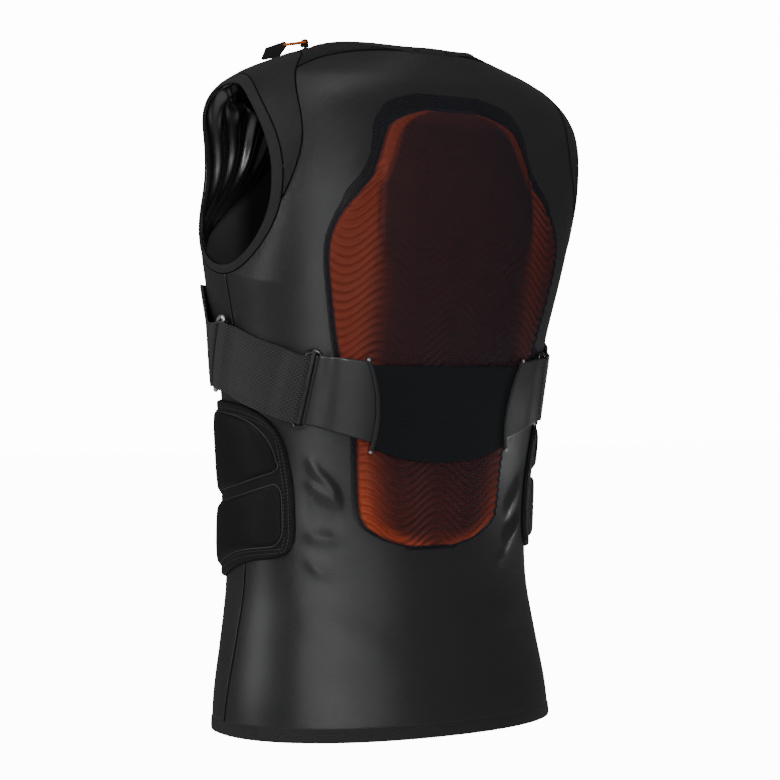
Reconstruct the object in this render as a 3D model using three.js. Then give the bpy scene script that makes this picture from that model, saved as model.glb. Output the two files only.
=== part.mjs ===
// Body protector: a close fitting sleeveless vest of stretch mesh with a moulded back pad in a sheer
// pocket, a kidney belt with ring adjusters, padded flanks and two front zips. Shown as worn.
// Millimetres, +Z up, +X to the wearer's left, +Y behind the wearer. Heights are measured from the
// hem seam, and the whole group is lowered at the end so that its origin lies where the vest rests
// on the shoulders.
import * as THREE from "three";
import { mergeVertices } from "three/addons/utils/BufferGeometryUtils.js";

const RAD = Math.PI / 180;

// Torso form
const HEIGHT = 660;
const HALF_WIDTH = 196;
const BACK_DEPTH = 126;
const FRONT_DEPTH = 137;
const REST_BELOW_TOP = 20;
const SHOULDER_REST = HEIGHT - REST_BELOW_TOP;

// Where the ridge and the neck's seam are looked for, as the lowest share of HEIGHT
const RIDGE_FROM = 0.9;
const NECK_FROM = 0.82;

// Cloth and seams
const FABRIC = 1.6;
const SEAM_GAP = 0.5;
const LAYER_GAP = 0.9;
const HEM_TALL = 13;
const HEM_THICK = 3;
const BINDING = 8;
const BINDING_THICK = 3;

// Armholes, as ovals in the side view, and the shoulder panels round them
const ARM_BEHIND = 8;
const ARM_HALF_DEPTH = 80;
const ARM_HALF_TALL = 86;
const SHOULDER_WIDE = 26;
const SHOULDER_DROP = 13;
const ARM_HEIGHT = HEIGHT - SHOULDER_DROP - SHOULDER_WIDE - BINDING - ARM_HALF_TALL;

// Neck hole, as an oval seen from above
const NECK_HALF_WIDTH = 80;
const NECK_HALF_DEPTH = 88;
const NECK_BEHIND = 1;
const NECK_SQUARE = 2.6;
const NECK_BAND = 5;
const NECK_EASE = 1;

// Yoke strips beside the neck
const YOKE_START = 14;
const YOKE_FALL = 3.2;

// Front zips, and the inner lining of the chest
const ZIP_OUT = 88;
const ZIP_WIDE = 8;
const ZIP_THICK = 2.2;
const LINING_DEEP = 3.4;
const LINING_THICK = 1;
const LINING_FOLD = 2;
const LINING_PITCH = 46;
const LINING_FROM = 104 * RAD;
const LINING_LOW = 0.6515 * HEIGHT;
const LINING_HIGH = 0.8864 * HEIGHT;

// Back pad and its sheer cover
const PAD_LOW = 0.2606 * HEIGHT;
const PAD_BELOW_TOP = 76;
const PAD_TALL = HEIGHT - PAD_BELOW_TOP - PAD_LOW;
const PAD_HALF_WIDTH = 130;
const PAD_EDGE = 5;
const PAD_CROWN = 12;
const COVER = 0.9;
const COVER_ABOVE = 17;
const COVER_SIDE = 10;
const COVER_HEM = 3.4;
const HEM_TURN = 0.7;

// Kidney belt: its heights follow that of its lower edge
const BELT_LOW = 0.409 * HEIGHT;
const BELT_TALL = 82;
const BELT_THICK = 1.5;
const WING_END = 125;
const BAR_WIDE = 6;
const BAR_THICK = 2.2;
const RING_TALL = 75;
const RING_WIDE = 16;
const WIRE = 4;
const REAR_RING_AT = 134;
const REAR_RING_RISE = 54;
const REAR_RING_UP = BELT_LOW + REAR_RING_RISE;
const REAR_RING_LEAN = -0.1;
const SIDE_RING_AT = 255;
const SIDE_RING_RISE = 88;
const SIDE_RING_UP = BELT_LOW + SIDE_RING_RISE;
const SIDE_RING_LEAN = -0.32;
const STRAP = 62;
const STRAP_THICK = 1.8;
const STRAP_LIFT = 4.9;
const RING_LIFT = 7.3;
const LOOP_GAP = 0.8;
const FRONT_STRAP_RISE = 118;
const FRONT_STRAP_UP = BELT_LOW + FRONT_STRAP_RISE;
const FRONT_STRAP = 78;
const FRONT_STRAP_LIFT = 6.4;
const FRONT_STRAP_OVER = 2.6;
const FRONT_LAP = 30;
const FRONT_SHORT = 14;
const STRAP_OVER = 3.6;
const BELT_CROWN = 17.8;
const CENTRE_DIP = 15;
const CENTRE_DROP = 4;
const WING_FOOT_RISE = 22;
const WING_FOOT = BELT_LOW + WING_FOOT_RISE;
const WING_STEP = 5;
const WING_RISE = 4;
const RIB_END = 5;
const BAR_AT = 70.5;
const BAR_BOW = 7;
const BAR_WAIST_RISE = 26;
const BAR_WAIST = BELT_LOW + BAR_WAIST_RISE;

// Flank pads
const FLANK_LOW = 0.2136 * HEIGHT;
const FLANK_BELOW_RING = 5.5;
const FLANK_TALL = SIDE_RING_UP - RING_TALL / 2 - FLANK_BELOW_RING - FLANK_LOW;
const FLANK_BACK = 132;
const FLANK_FRONT = 300;
const FLANK_THICK = 4;
const CELL_THICK = 5.5;
const CELL_GAP = 1.7;
const CELL_MARGIN = 11;
const CELL_EDGE = 1.5;
const CELL_ROUND = 0.035;

// Zip sliders and their pulls
const SLIDER_DEEP = 5;
const SLIDER_BACK = -4;
const SLIDER_WIDE = 7;
const SLIDER_TALL = 3;
const BAIL_WALL = 1.4;
const LINK_LONG = 24;
const LINK_WIRE = 2.4;
const LINK_EASE = 0.5;
const LINK_LIE = 0.59;
const TAB_LONG = 27;
const TAB_WIDE = 10;
const TAB_THICK = 4;
const TAB_SLANT = 8;
const TAB_ROUND = 2;
const TAB_RISE = 1.2;
const TAB_LIE = 0.85;

// The link's path: along it from the bail to the eye, and across it as a share of half its width.
const LINK_PATH = [
  { along: 0, across: -0.6 },
  { along: 0, across: 0.6 },
  { along: 0.06, across: 1 },
  { along: 0.5, across: 1 },
  { along: 0.94, across: 1 },
  { along: 1, across: 0.6 },
  { along: 1, across: -0.6 },
  { along: 0.94, across: -1 },
  { along: 0.5, across: -1 },
  { along: 0.06, across: -1 },
];

// Sections of the torso from the hem up: height as a share of HEIGHT, half width as a share of
// HALF_WIDTH, depths behind and in front as shares of BACK_DEPTH and FRONT_DEPTH, and the powers of
// the two half ovals (2 is an ellipse, more is squarer).
const SECTIONS = [
  { up: -0.01, wide: 0.908, back: 0.944, front: 0.832, squareBack: 2.2, squareFront: 2.2 },
  { up: 0.045, wide: 0.888, back: 0.905, front: 0.883, squareBack: 2.2, squareFront: 2.2 },
  { up: 0.121, wide: 0.842, back: 0.81, front: 0.92, squareBack: 2.2, squareFront: 2.2 },
  { up: 0.197, wide: 0.801, back: 0.73, front: 0.964, squareBack: 2.2, squareFront: 2.2 },
  { up: 0.271, wide: 0.791, back: 0.683, front: 1, squareBack: 2.3, squareFront: 2.2 },
  { up: 0.347, wide: 0.796, back: 0.683, front: 0.964, squareBack: 2.4, squareFront: 2.2 },
  { up: 0.423, wide: 0.811, back: 0.73, front: 0.949, squareBack: 2.5, squareFront: 2.25 },
  { up: 0.498, wide: 0.828, back: 0.81, front: 0.964, squareBack: 2.6, squareFront: 2.3 },
  { up: 0.573, wide: 0.862, back: 0.885, front: 0.98, squareBack: 2.7, squareFront: 2.35 },
  { up: 0.648, wide: 0.91, back: 0.95, front: 0.956, squareBack: 2.9, squareFront: 2.4 },
  { up: 0.724, wide: 0.954, back: 0.992, front: 0.876, squareBack: 3.15, squareFront: 2.5 },
  { up: 0.789, wide: 0.985, back: 1, front: 0.803, squareBack: 3.4, squareFront: 2.5 },
  { up: 0.85, wide: 1, back: 0.968, front: 0.73, squareBack: 3.4, squareFront: 2.5 },
  { up: 0.895, wide: 0.98, back: 0.921, front: 0.65, squareBack: 3.2, squareFront: 2.5 },
  { up: 0.929, wide: 0.903, back: 0.857, front: 0.555, squareBack: 2.9, squareFront: 2.4 },
  { up: 0.952, wide: 0.791, back: 0.786, front: 0.46, squareBack: 2.6, squareFront: 2.3 },
  { up: 0.971, wide: 0.643, back: 0.722, front: 0.372, squareBack: 2.3, squareFront: 2.2 },
  { up: 0.986, wide: 0.505, back: 0.667, front: 0.314, squareBack: 2.1, squareFront: 2 },
  { up: 0.998, wide: 0.378, back: 0.619, front: 0.263, squareBack: 2, squareFront: 2 },
  { up: 1.011, wide: 0.245, back: 0.556, front: 0.204, squareBack: 2, squareFront: 2 },
];

// Folds die away over this distance beside what lies on the cloth.
const FOLD_CLEAR = 5;
const FOLD_FADE = 14;

// Soft folds pressed into the cloth: where each starts and ends, as shares of HALF_WIDTH round the
// girth from the spine and of HEIGHT, how far it stands out and how broad it is, in millimetres.
const FOLDS = [
  { fromOut: 0.63, fromUp: 0.42, toOut: 0.36, toUp: 0.285, out: 2.4, broad: 11 },
  { fromOut: 0.72, fromUp: 0.36, toOut: 0.44, toUp: 0.255, out: 2, broad: 10 },
  { fromOut: 0.64, fromUp: 0.258, toOut: 0.1, toUp: 0.236, out: 2.2, broad: 9 },
  { fromOut: -0.74, fromUp: 0.385, toOut: -0.5, toUp: 0.3, out: 2.2, broad: 10 },
  { fromOut: -0.66, fromUp: 0.3, toOut: -0.48, toUp: 0.26, out: 1.8, broad: 9 },
  { fromOut: -0.1, fromUp: 0.13, toOut: -0.6, toUp: 0.16, out: 1.8, broad: 15 },
  { fromOut: -0.05, fromUp: 0.075, toOut: -0.55, toUp: 0.1, out: 1.6, broad: 15 },
];

// Outline of the pad from its foot up: height as a share of PAD_TALL, half width of PAD_HALF_WIDTH.
const PAD_OUTLINE = [
  { up: 0, wide: 0.2 },
  { up: 0.012, wide: 0.35 },
  { up: 0.03, wide: 0.47 },
  { up: 0.05, wide: 0.56 },
  { up: 0.08, wide: 0.61 },
  { up: 0.2, wide: 0.645 },
  { up: 0.26, wide: 0.67 },
  { up: 0.44, wide: 0.85 },
  { up: 0.62, wide: 0.98 },
  { up: 0.68, wide: 1 },
  { up: 0.72, wide: 0.985 },
  { up: 0.76, wide: 0.93 },
  { up: 0.8, wide: 0.83 },
  { up: 0.84, wide: 0.72 },
  { up: 0.88, wide: 0.665 },
  { up: 0.955, wide: 0.565 },
  { up: 0.975, wide: 0.49 },
  { up: 0.99, wide: 0.37 },
  { up: 1, wide: 0.25 },
];

// How far the cover's seam lies outside the pad at the same heights, as a share of COVER_SIDE.
const COVER_SEAM = [
  { up: 0, out: 0.34 },
  { up: 0.45, out: 0.36 },
  { up: 0.7, out: 0.36 },
  { up: 0.77, out: 0.5 },
  { up: 0.82, out: 1.1 },
  { up: 0.88, out: 0.65 },
  { up: 0.92, out: 0.8 },
  { up: 0.955, out: 1.25 },
  { up: 0.975, out: 1.9 },
  { up: 0.99, out: 3 },
  { up: 1, out: 4.2 },
];

// Outline of the flank pad in three curves, its back edge, its top and its foot: how far forward as a
// share of its length, and how high as a share of FLANK_TALL.
const FLANK_BACK_EDGE = [
  { along: 0.07, up: 0.15 },
  { along: 0.03, up: 0.22 },
  { along: 0.025, up: 0.35 },
  { along: 0.035, up: 0.5 },
  { along: 0.06, up: 0.62 },
  { along: 0.1, up: 0.74 },
  { along: 0.15, up: 0.82 },
];
const FLANK_TOP = [
  { along: 0.15, up: 0.82 },
  { along: 0.215, up: 0.88 },
  { along: 0.3, up: 0.925 },
  { along: 0.435, up: 0.96 },
  { along: 0.7, up: 0.985 },
  { along: 1, up: 0.99 },
];
const FLANK_FOOT = [
  { along: 0.07, up: 0.15 },
  { along: 0.13, up: 0.13 },
  { along: 0.27, up: 0.11 },
  { along: 0.4, up: 0.085 },
  { along: 0.55, up: 0.045 },
  { along: 0.7, up: 0 },
  { along: 1, up: -0.04 },
];

// The line between the two cells of a flank pad, given the same way.
const FLANK_DIVIDE = [
  { along: 0.07, up: 0.59 },
  { along: 0.15, up: 0.56 },
  { along: 0.39, up: 0.494 },
  { along: 0.8, up: 0.427 },
  { along: 1, up: 0.4 },
];

// How far the belt stands off the torso: length round the girth as a share of WING_END, lift as a
// share of BELT_CROWN.
const BELT_FALL = [
  { out: 0, lift: 1 },
  { out: 0.4, lift: 0.97 },
  { out: 0.62, lift: 0.88 },
  { out: 0.76, lift: 0.76 },
  { out: 0.86, lift: 0.66 },
  { out: 1, lift: 0.46 },
];

// A ring's path, all the way round: across as a share of half its width, along of half its height.
const RING_PATH = [
  { across: -1, along: 0.9 },
  { across: -1, along: 0 },
  { across: -1, along: -0.9 },
  { across: -0.7, along: -0.98 },
  { across: 0, along: -1 },
  { across: 0.7, along: -0.98 },
  { across: 1, along: -0.9 },
  { across: 1, along: 0 },
  { across: 1, along: 0.9 },
  { across: 0.7, along: 0.98 },
  { across: 0, along: 1 },
  { across: -0.7, along: 0.98 },
];

// Finishes
const CLOTH = { colour: 0x232426, roughness: 0.85 };
const SMOOTH_CLOTH = { colour: 0x1c1d1e, roughness: 0.75 };
const EDGING = { colour: 0x151617, roughness: 0.8 };
const PAD_FOAM = { colour: 0x8a3316, roughness: 0.6 };
const SHEER = { colour: 0x1b1b1f, roughness: 0.8 };
const LAMINATE = { colour: 0x1b1c1d, roughness: 0.5 };
const ELASTIC = { colour: 0x17181a, roughness: 0.9 };
const METAL = { colour: 0x2a2b2d, roughness: 0.35, metalness: 0.9 };
const BRIGHT_METAL = { colour: 0xb9bcc0, roughness: 0.3, metalness: 1 };
const RUBBER = { colour: 0x141415, roughness: 0.55 };
const ORANGE = { colour: 0xd9761c, roughness: 0.6 };
const GLOSSY_LINING = { colour: 0x0c0c0d, roughness: 0.25 };

const group = new THREE.Group();
const body = new THREE.Group();
group.add(body);

// A closed mesh from vertices and faces, turned so that its faces point outwards.
function addMesh(name, points, faces, finish) {
  let volume = 0;
  const cross = new THREE.Vector3();
  for (const [a, b, c] of faces)
    volume += points[a].dot(cross.crossVectors(points[b], points[c]));
  const indices = volume < 0 ? faces.flatMap(([a, b, c]) => [a, c, b]) : faces.flat();
  const geometry = new THREE.BufferGeometry().setFromPoints(points).setIndex(indices);
  geometry.computeVertexNormals();
  const material = new THREE.MeshStandardMaterial({
    color: finish.colour,
    roughness: finish.roughness,
    metalness: finish.metalness ?? 0,
  });
  const mesh = new THREE.Mesh(geometry, material);
  mesh.name = name;
  body.add(mesh);
  return mesh;
}

// A slab between two surfaces, each a function of u and v from 0 to 1, on a grid of across by along
// cells, or on the lists of u and v given. A ring closes on itself in u.
function addSlab(name, inner, outer, across, along, finish, ring = false) {
  const steps = (n) => (Array.isArray(n) ? n : Array.from({ length: n + 1 }, (_, i) => i / n));
  const us = ring ? steps(across).slice(0, -1) : steps(across);
  const vs = steps(along);
  const points = [];
  for (const surface of [inner, outer])
    for (const v of vs) for (const u of us) points.push(surface(u, v));
  const layer = us.length * vs.length;
  const at = (side, i, j) => side * layer + j * us.length + (i % us.length);
  const faces = [];
  const quad = (a, b, c, d) => faces.push([a, b, c], [a, c, d]);
  const columns = ring ? us.length : us.length - 1;
  const rows = vs.length - 1;
  for (let j = 0; j < rows; j++)
    for (let i = 0; i < columns; i++) {
      quad(at(1, i, j), at(1, i + 1, j), at(1, i + 1, j + 1), at(1, i, j + 1));
      quad(at(0, i, j), at(0, i, j + 1), at(0, i + 1, j + 1), at(0, i + 1, j));
    }
  for (let i = 0; i < columns; i++) {
    quad(at(0, i, 0), at(0, i + 1, 0), at(1, i + 1, 0), at(1, i, 0));
    quad(at(1, i, rows), at(1, i + 1, rows), at(0, i + 1, rows), at(0, i, rows));
  }
  if (!ring)
    for (let j = 0; j < rows; j++) {
      quad(at(0, 0, j), at(1, 0, j), at(1, 0, j + 1), at(0, 0, j + 1));
      quad(at(1, columns, j), at(0, columns, j), at(0, columns, j + 1), at(1, columns, j + 1));
    }
  return addMesh(name, points, faces, finish);
}

// The value of a named column at a place along a table, by a smooth curve through its rows.
function readTable(table, placeColumn, valueColumn, place) {
  const last = table.length - 1;
  let i = 0;
  while (i < last - 1 && place > table[i + 1][placeColumn]) i++;
  const [p0, p1, p2, p3] = [Math.max(i - 1, 0), i, i + 1, Math.min(i + 2, last)].map((k) => table[k]);
  const span = p2[placeColumn] - p1[placeColumn];
  const t = THREE.MathUtils.clamp((place - p1[placeColumn]) / span, 0, 1);
  const slope = (a, b) =>
    (span * (b[valueColumn] - a[valueColumn])) / (b[placeColumn] - a[placeColumn] || 1);
  const m1 = slope(p0, p2);
  const m2 = slope(p1, p3);
  const rise = p2[valueColumn] - p1[valueColumn];
  const bend = t * t * (3 - 2 * t);
  const start = t * (1 - t) * (1 - t);
  const end = t * t * (t - 1);
  return p1[valueColumn] + rise * bend + m1 * start + m2 * end;
}

// The plan section of the torso at a height.
function sectionAt(height) {
  const up = height / HEIGHT;
  const read = (column) => readTable(SECTIONS, "up", column, up);
  return {
    wide: read("wide") * HALF_WIDTH,
    back: read("back") * BACK_DEPTH,
    front: read("front") * FRONT_DEPTH,
    squareBack: read("squareBack"),
    squareFront: read("squareFront"),
  };
}

// Distance from the centre line to the section's edge in the direction phi, which is 0 at the spine,
// 90 degrees at the wearer's left side and 180 at the breastbone.
function reach(section, phi) {
  const behind = Math.cos(phi) >= 0;
  const power = behind ? section.squareBack : section.squareFront;
  const depth = behind ? section.back : section.front;
  const x = Math.abs(Math.sin(phi) / section.wide) ** power;
  const y = Math.abs(Math.cos(phi) / depth) ** power;
  return (x + y) ** (-1 / power);
}

function bare(phi, height) {
  const r = reach(sectionAt(height), phi);
  return new THREE.Vector3(r * Math.sin(phi), r * Math.cos(phi), height);
}

// A point at a distance off the torso's surface, along its normal.
function skin(phi, height, off = 0) {
  const step = 0.02;
  const rise = 1;
  const round = bare(phi + step, height).sub(bare(phi - step, height));
  const up = bare(phi, height + rise).sub(bare(phi, height - rise));
  const normal = up.cross(round).normalize();
  const point = bare(phi, height);
  if (normal.x * point.x + normal.y * point.y < 0) normal.negate();
  return point.addScaledVector(normal, off);
}

// Direction at a length of cloth round the girth from the spine, at a height.
const girthTables = new Map();
function phiAt(girth, height) {
  const key = height.toFixed(2);
  if (!girthTables.has(key)) {
    const section = sectionAt(height);
    const table = [0];
    let before = [0, reach(section, 0)];
    for (let degree = 1; degree <= 200; degree++) {
      const r = reach(section, degree * RAD);
      const here = [r * Math.sin(degree * RAD), r * Math.cos(degree * RAD)];
      table.push(table[degree - 1] + Math.hypot(here[0] - before[0], here[1] - before[1]));
      before = here;
    }
    girthTables.set(key, table);
  }
  const table = girthTables.get(key);
  const size = Math.abs(girth);
  let i = 0;
  while (i < table.length - 2 && table[i + 1] < size) i++;
  const degree = i + (size - table[i]) / (table[i + 1] - table[i]);
  return Math.sign(girth) * degree * RAD;
}

function girthAt(phi, height) {
  let low = 0;
  let high = 800;
  while (high - low > 0.01) {
    const middle = (low + high) / 2;
    if (phiAt(middle, height) < Math.abs(phi)) low = middle;
    else high = middle;
  }
  return Math.sign(phi) * low;
}

function wrapped(girth, height, off) {
  return skin(phiAt(girth, height), height, off);
}

// How far the folds lift the cloth at a place. They die away beside what lies on the cloth.
function foldLift(phi, height) {
  const girth = girthAt(phi, height);
  let lift = 0;
  for (const fold of FOLDS) {
    const start = new THREE.Vector2(fold.fromOut * HALF_WIDTH, fold.fromUp * HEIGHT);
    const line = new THREE.Vector2(fold.toOut * HALF_WIDTH, fold.toUp * HEIGHT).sub(start);
    const here = new THREE.Vector2(girth, height).sub(start);
    const along = here.dot(line) / line.lengthSq();
    const aside = here.cross(line) / line.length();
    const ends = Math.exp(-(((along - 0.5) / 0.5) ** 4));
    lift += fold.out * ends * Math.exp(-((aside / fold.broad) ** 2));
  }
  const besidePad = Math.max(Math.abs(girth) - seamHalf(height), PAD_LOW - COVER_HEM - height);
  const besideFlank = Math.max(FLANK_BACK - Math.abs(girth), FLANK_LOW - height);
  const belowBelt = BELT_LOW - height;
  const clear = Math.min(besidePad, besideFlank, belowBelt);
  return lift * THREE.MathUtils.smoothstep(clear, FOLD_CLEAR, FOLD_CLEAR + FOLD_FADE);
}

const mix = THREE.MathUtils.lerp;
const spot = (phi, height) => new THREE.Vector2(phi, height);

// The value between low and high at which a rising function crosses zero.
function solve(rising, low, high) {
  for (let i = 0; i < 30; i++) {
    const middle = (low + high) / 2;
    if (rising(middle) < 0) low = middle;
    else high = middle;
  }
  return (low + high) / 2;
}

// Seams are curves of spots, each a direction and a height. These three find a spot by its distance
// behind the centre, by its distance out to the side, and by its place in plan near the neck.
function spotByDepth(behind, height) {
  const section = sectionAt(height);
  return spot(solve((phi) => behind - reach(section, phi) * Math.cos(phi), 0, Math.PI), height);
}

function spotByOut(out, height, inFront) {
  const section = sectionAt(height);
  const aim = Math.min(out, section.wide);
  const side = (turn) => (inFront ? Math.PI - turn : turn);
  const turn = solve((t) => reach(section, side(t)) * Math.sin(t) - aim, 0, Math.PI / 2);
  return spot(side(turn), height);
}

function spotInPlan(out, behind) {
  const phi = Math.atan2(out, behind);
  const far = Math.hypot(out, behind);
  return spot(phi, solve((h) => far - reach(sectionAt(h), phi), NECK_FROM * HEIGHT, HEIGHT));
}

// A patch between four seams: foot and top run across it, near and far run up its two sides.
function patch(foot, top, near, far) {
  return (p, q) => {
    const across = foot(p).multiplyScalar(1 - q).add(top(p).multiplyScalar(q));
    const up = near(q).multiplyScalar(1 - p).add(far(q).multiplyScalar(p));
    const corners = foot(0)
      .multiplyScalar((1 - p) * (1 - q))
      .add(foot(1).multiplyScalar(p * (1 - q)))
      .add(top(0).multiplyScalar((1 - p) * q))
      .add(top(1).multiplyScalar(p * q));
    return across.add(up).sub(corners);
  };
}

// A strip between two seams that run side by side.
const strip = (near, far) => (p, q) => near(q).lerp(far(q), p);
const straight = (start, end) => (t) => start.clone().lerp(end, t);

// A curve that passes along several curves in turn, each for its own share of the whole.
function chain(...stretches) {
  return (t) => {
    let start = 0;
    for (const [share, curve] of stretches) {
      if (t <= start + share + 1e-9) return curve(THREE.MathUtils.clamp((t - start) / share, 0, 1));
      start += share;
    }
    return stretches.at(-1)[1](1);
  };
}

// Rows of a grid, so many to each share of its length.
function rows(...stretches) {
  const found = [0];
  for (const [share, count] of stretches) {
    const start = found.at(-1);
    for (let i = 1; i <= count; i++) found.push(start + (share * i) / count);
  }
  return found;
}

// The whole of a panel from the map of its left half.
const bothHalves = (half) => (u, v) => {
  const found = half(Math.abs(2 * u - 1), v);
  return u < 0.5 ? spot(2 * half(0, v).x - found.x, found.y) : found;
};

// A panel on a map of spots, between two distances off the torso, on one side of the body or both.
function addPanel(name, map, side, inner, outer, across, along, finish, ring = false) {
  const surface = (off) => (u, v) => {
    const { x: phi, y: height } = map(u, v);
    return skin(side * phi, height, typeof off === "function" ? off(u, v, phi, height) : off);
  };
  return addSlab(name, surface(inner), surface(outer), across, along, finish, ring);
}

const SIDES = [
  ["left", 1],
  ["right", -1],
];
const FULL_TURN = 2 * Math.PI;
const PANEL_FOOT = HEM_TALL / 2 + SEAM_GAP;
const ARM_LOWEST = -90 * RAD;
const ARM_LOWEST_FRONT = 270 * RAD;
const SHOULDER_START = -19 * RAD;
const SHOULDER_END = 199 * RAD;
const SHOULDER_TIP = 5 * RAD;
const BACK_CORNER = 54 * RAD;

function armSpot(turn, extra) {
  const behind = ARM_BEHIND + (ARM_HALF_DEPTH + extra) * Math.cos(turn);
  return spotByDepth(behind, ARM_HEIGHT + (ARM_HALF_TALL + extra) * Math.sin(turn));
}

function shoulderSpot(turn, extra) {
  const along = (turn - SHOULDER_START) / (SHOULDER_END - SHOULDER_START);
  return armSpot(turn, BINDING + SHOULDER_WIDE * Math.sin(Math.PI * along) + extra);
}

// The turn round the armhole at which the shoulder seam lies this far behind the ridge.
function ridgeTurn(behind) {
  return Math.acos((behind - ARM_BEHIND) / (ARM_HALF_DEPTH + BINDING + SHOULDER_WIDE));
}

function neckSpot(turn, extra) {
  const bulge = (value) => Math.sign(value) * Math.abs(value) ** (2 / NECK_SQUARE);
  const out = (NECK_HALF_WIDTH + extra) * bulge(Math.sin(turn));
  return spotInPlan(out, NECK_BEHIND + (NECK_HALF_DEPTH + extra) * bulge(Math.cos(turn)));
}

const sideSeam = (shift) => (t) => {
  const top = ARM_HEIGHT - ARM_HALF_TALL - BINDING - SEAM_GAP;
  return spotByDepth(ARM_BEHIND * t + shift, mix(PANEL_FOOT, top, t));
};

const edging = [(FABRIC - BINDING_THICK) / 2, (FABRIC + BINDING_THICK) / 2];
const hemEdging = [(FABRIC - HEM_THICK) / 2, (FABRIC + HEM_THICK) / 2];

// Hem band, neck binding and armhole bindings
const hemMap = (u, v) => spot(FULL_TURN * u, HEM_TALL * (v - 0.5));
addPanel("hem_band", hemMap, 1, ...hemEdging, 40, 1, EDGING, true);
const neckMap = (u, v) => neckSpot(FULL_TURN * u, -NECK_BAND * v);
addPanel("neck_binding", neckMap, 1, ...edging, 32, 1, EDGING, true);
for (const [word, side] of SIDES) {
  const armMap = (u, v) => armSpot(FULL_TURN * u, BINDING * v);
  addPanel(`armhole_binding_${word}`, armMap, side, ...edging, 36, 1, EDGING, true);
}

// Back panel, in one piece from side seam to side seam
const backEdge = chain(
  [0.58, sideSeam(SEAM_GAP / 2)],
  [0.24, (t) => armSpot(mix(ARM_LOWEST, SHOULDER_START, t), BINDING + SEAM_GAP)],
  [0.18, (t) => shoulderSpot(mix(SHOULDER_START, BACK_CORNER, t), SEAM_GAP)],
);
const backCorner = backEdge(1);
const backCornerOut = bare(backCorner.x, backCorner.y).x;
const neckFoot = neckSpot(0, SEAM_GAP).y;
const yokeSeam = (shift) => (t) => {
  const height = mix(neckFoot, backCorner.y, t ** YOKE_FALL) + shift;
  return spotByOut(backCornerOut * t, height, false);
};
const halfBack = patch(
  straight(spot(0, PANEL_FOOT), backEdge(0)),
  (t) => (t < 1 ? yokeSeam(0)(t) : backEdge(1)),
  straight(spot(0, PANEL_FOOT), spot(0, neckFoot)),
  backEdge,
);
const backRows = rows([0.2, 3], [0.25, 8], [0.13, 3], [0.24, 7], [0.18, 5]);
const backColumns = [0, 0.22, 0.41, 0.49, 0.57, 0.65, 0.75, 0.87, 1];
const bothColumns = [...backColumns.slice(1).reverse().map((p) => -p), ...backColumns];
const folded = (off) => (u, v, phi, height) => off + foldLift(phi, height);
const backMap = bothHalves(halfBack);
const panelColumns = bothColumns.map((p) => (p + 1) / 2);
addPanel("back_panel", backMap, 1, folded(0), folded(FABRIC), panelColumns, backRows, CLOTH);

// Front panel between the two zips, the zips themselves and the two side panels
const FRONT_ROWS = rows([0.5, 8], [0.2, 6], [0.3, 7]);
const ridgeHeight = (out) => solve((h) => out - sectionAt(h).wide, RIDGE_FROM * HEIGHT, HEIGHT);
function zipLine(aside) {
  const out = ZIP_OUT + aside;
  const top = ridgeHeight(out);
  return (t) => spotByOut(out, mix(PANEL_FOOT, top, t), true);
}
const zipOuter = zipLine(ZIP_WIDE / 2 + SEAM_GAP);

// The front panel's top seam, round the neck in all but its last column
const NECK_COLUMNS = 8;
const frontTop = (p) => {
  const turn = Math.PI - (Math.PI / 2) * Math.min((p * (NECK_COLUMNS + 1)) / NECK_COLUMNS, 1);
  return p < 1 ? neckSpot(turn, NECK_EASE) : zipLine(-ZIP_WIDE / 2 - SEAM_GAP)(1);
};
const halfFront = (p, q) => {
  const top = frontTop(p);
  const out = Math.abs(bare(top.x, top.y).x);
  return spotByOut(out, mix(PANEL_FOOT, top.y, q), true);
};
const frontColumns = 2 * (NECK_COLUMNS + 1);
addPanel("front_panel", bothHalves(halfFront), 1, 0, FABRIC, frontColumns, rows([0.5, 4], [0.5, 10]), CLOTH);
const frontEdge = chain(
  [0.5, sideSeam(-SEAM_GAP / 2)],
  [0.2, (t) => armSpot(mix(ARM_LOWEST_FRONT, SHOULDER_END, t), BINDING + SEAM_GAP)],
  [0.3, (t) => shoulderSpot(mix(SHOULDER_END, ridgeTurn(-SEAM_GAP), t), SEAM_GAP)],
);
const frontSide = patch(
  straight(zipOuter(0), frontEdge(0)),
  straight(zipOuter(1), frontEdge(1)),
  zipOuter,
  frontEdge,
);
const zipMap = strip(zipLine(-ZIP_WIDE / 2), zipLine(ZIP_WIDE / 2));

// Yoke strips of spacer mesh, from the back of the neck to the shoulder ridge
const yokeStart = YOKE_START / backCornerOut;
const neckStart = Math.asin((YOKE_START / NECK_HALF_WIDTH) ** (NECK_SQUARE / 2));
const yokeInner = (t) => neckSpot(mix(neckStart, Math.PI / 2, t), SEAM_GAP);
const yokeClear = 1.5 * SEAM_GAP;
const yokeOuter = chain(
  [0.7, (t) => yokeSeam(yokeClear)(mix(yokeStart, 1, t))],
  [0.3, (t) => shoulderSpot(mix(BACK_CORNER, ridgeTurn(SEAM_GAP), t), SEAM_GAP)],
);

// Crescent of smooth cloth over each shoulder
const crescent = (shift) => mix(SHOULDER_START + SHOULDER_TIP, SHOULDER_END - SHOULDER_TIP, shift);
const shoulderMap = strip(
  (t) => armSpot(crescent(t), BINDING + SEAM_GAP),
  (t) => shoulderSpot(crescent(t), -SEAM_GAP),
);
for (const [word, side] of SIDES) {
  addPanel(`front_side_panel_${word}`, frontSide, side, 0, FABRIC, 6, FRONT_ROWS, CLOTH);
  addPanel(`zip_${word}`, zipMap, side, 0, ZIP_THICK, 1, FRONT_ROWS, RUBBER);
  addPanel(`yoke_${word}`, strip(yokeInner, yokeOuter), side, 0, FABRIC, 1, 12, SMOOTH_CLOTH);
  addPanel(`shoulder_panel_${word}`, shoulderMap, side, 0, FABRIC, 2, 20, SMOOTH_CLOTH);
}

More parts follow.
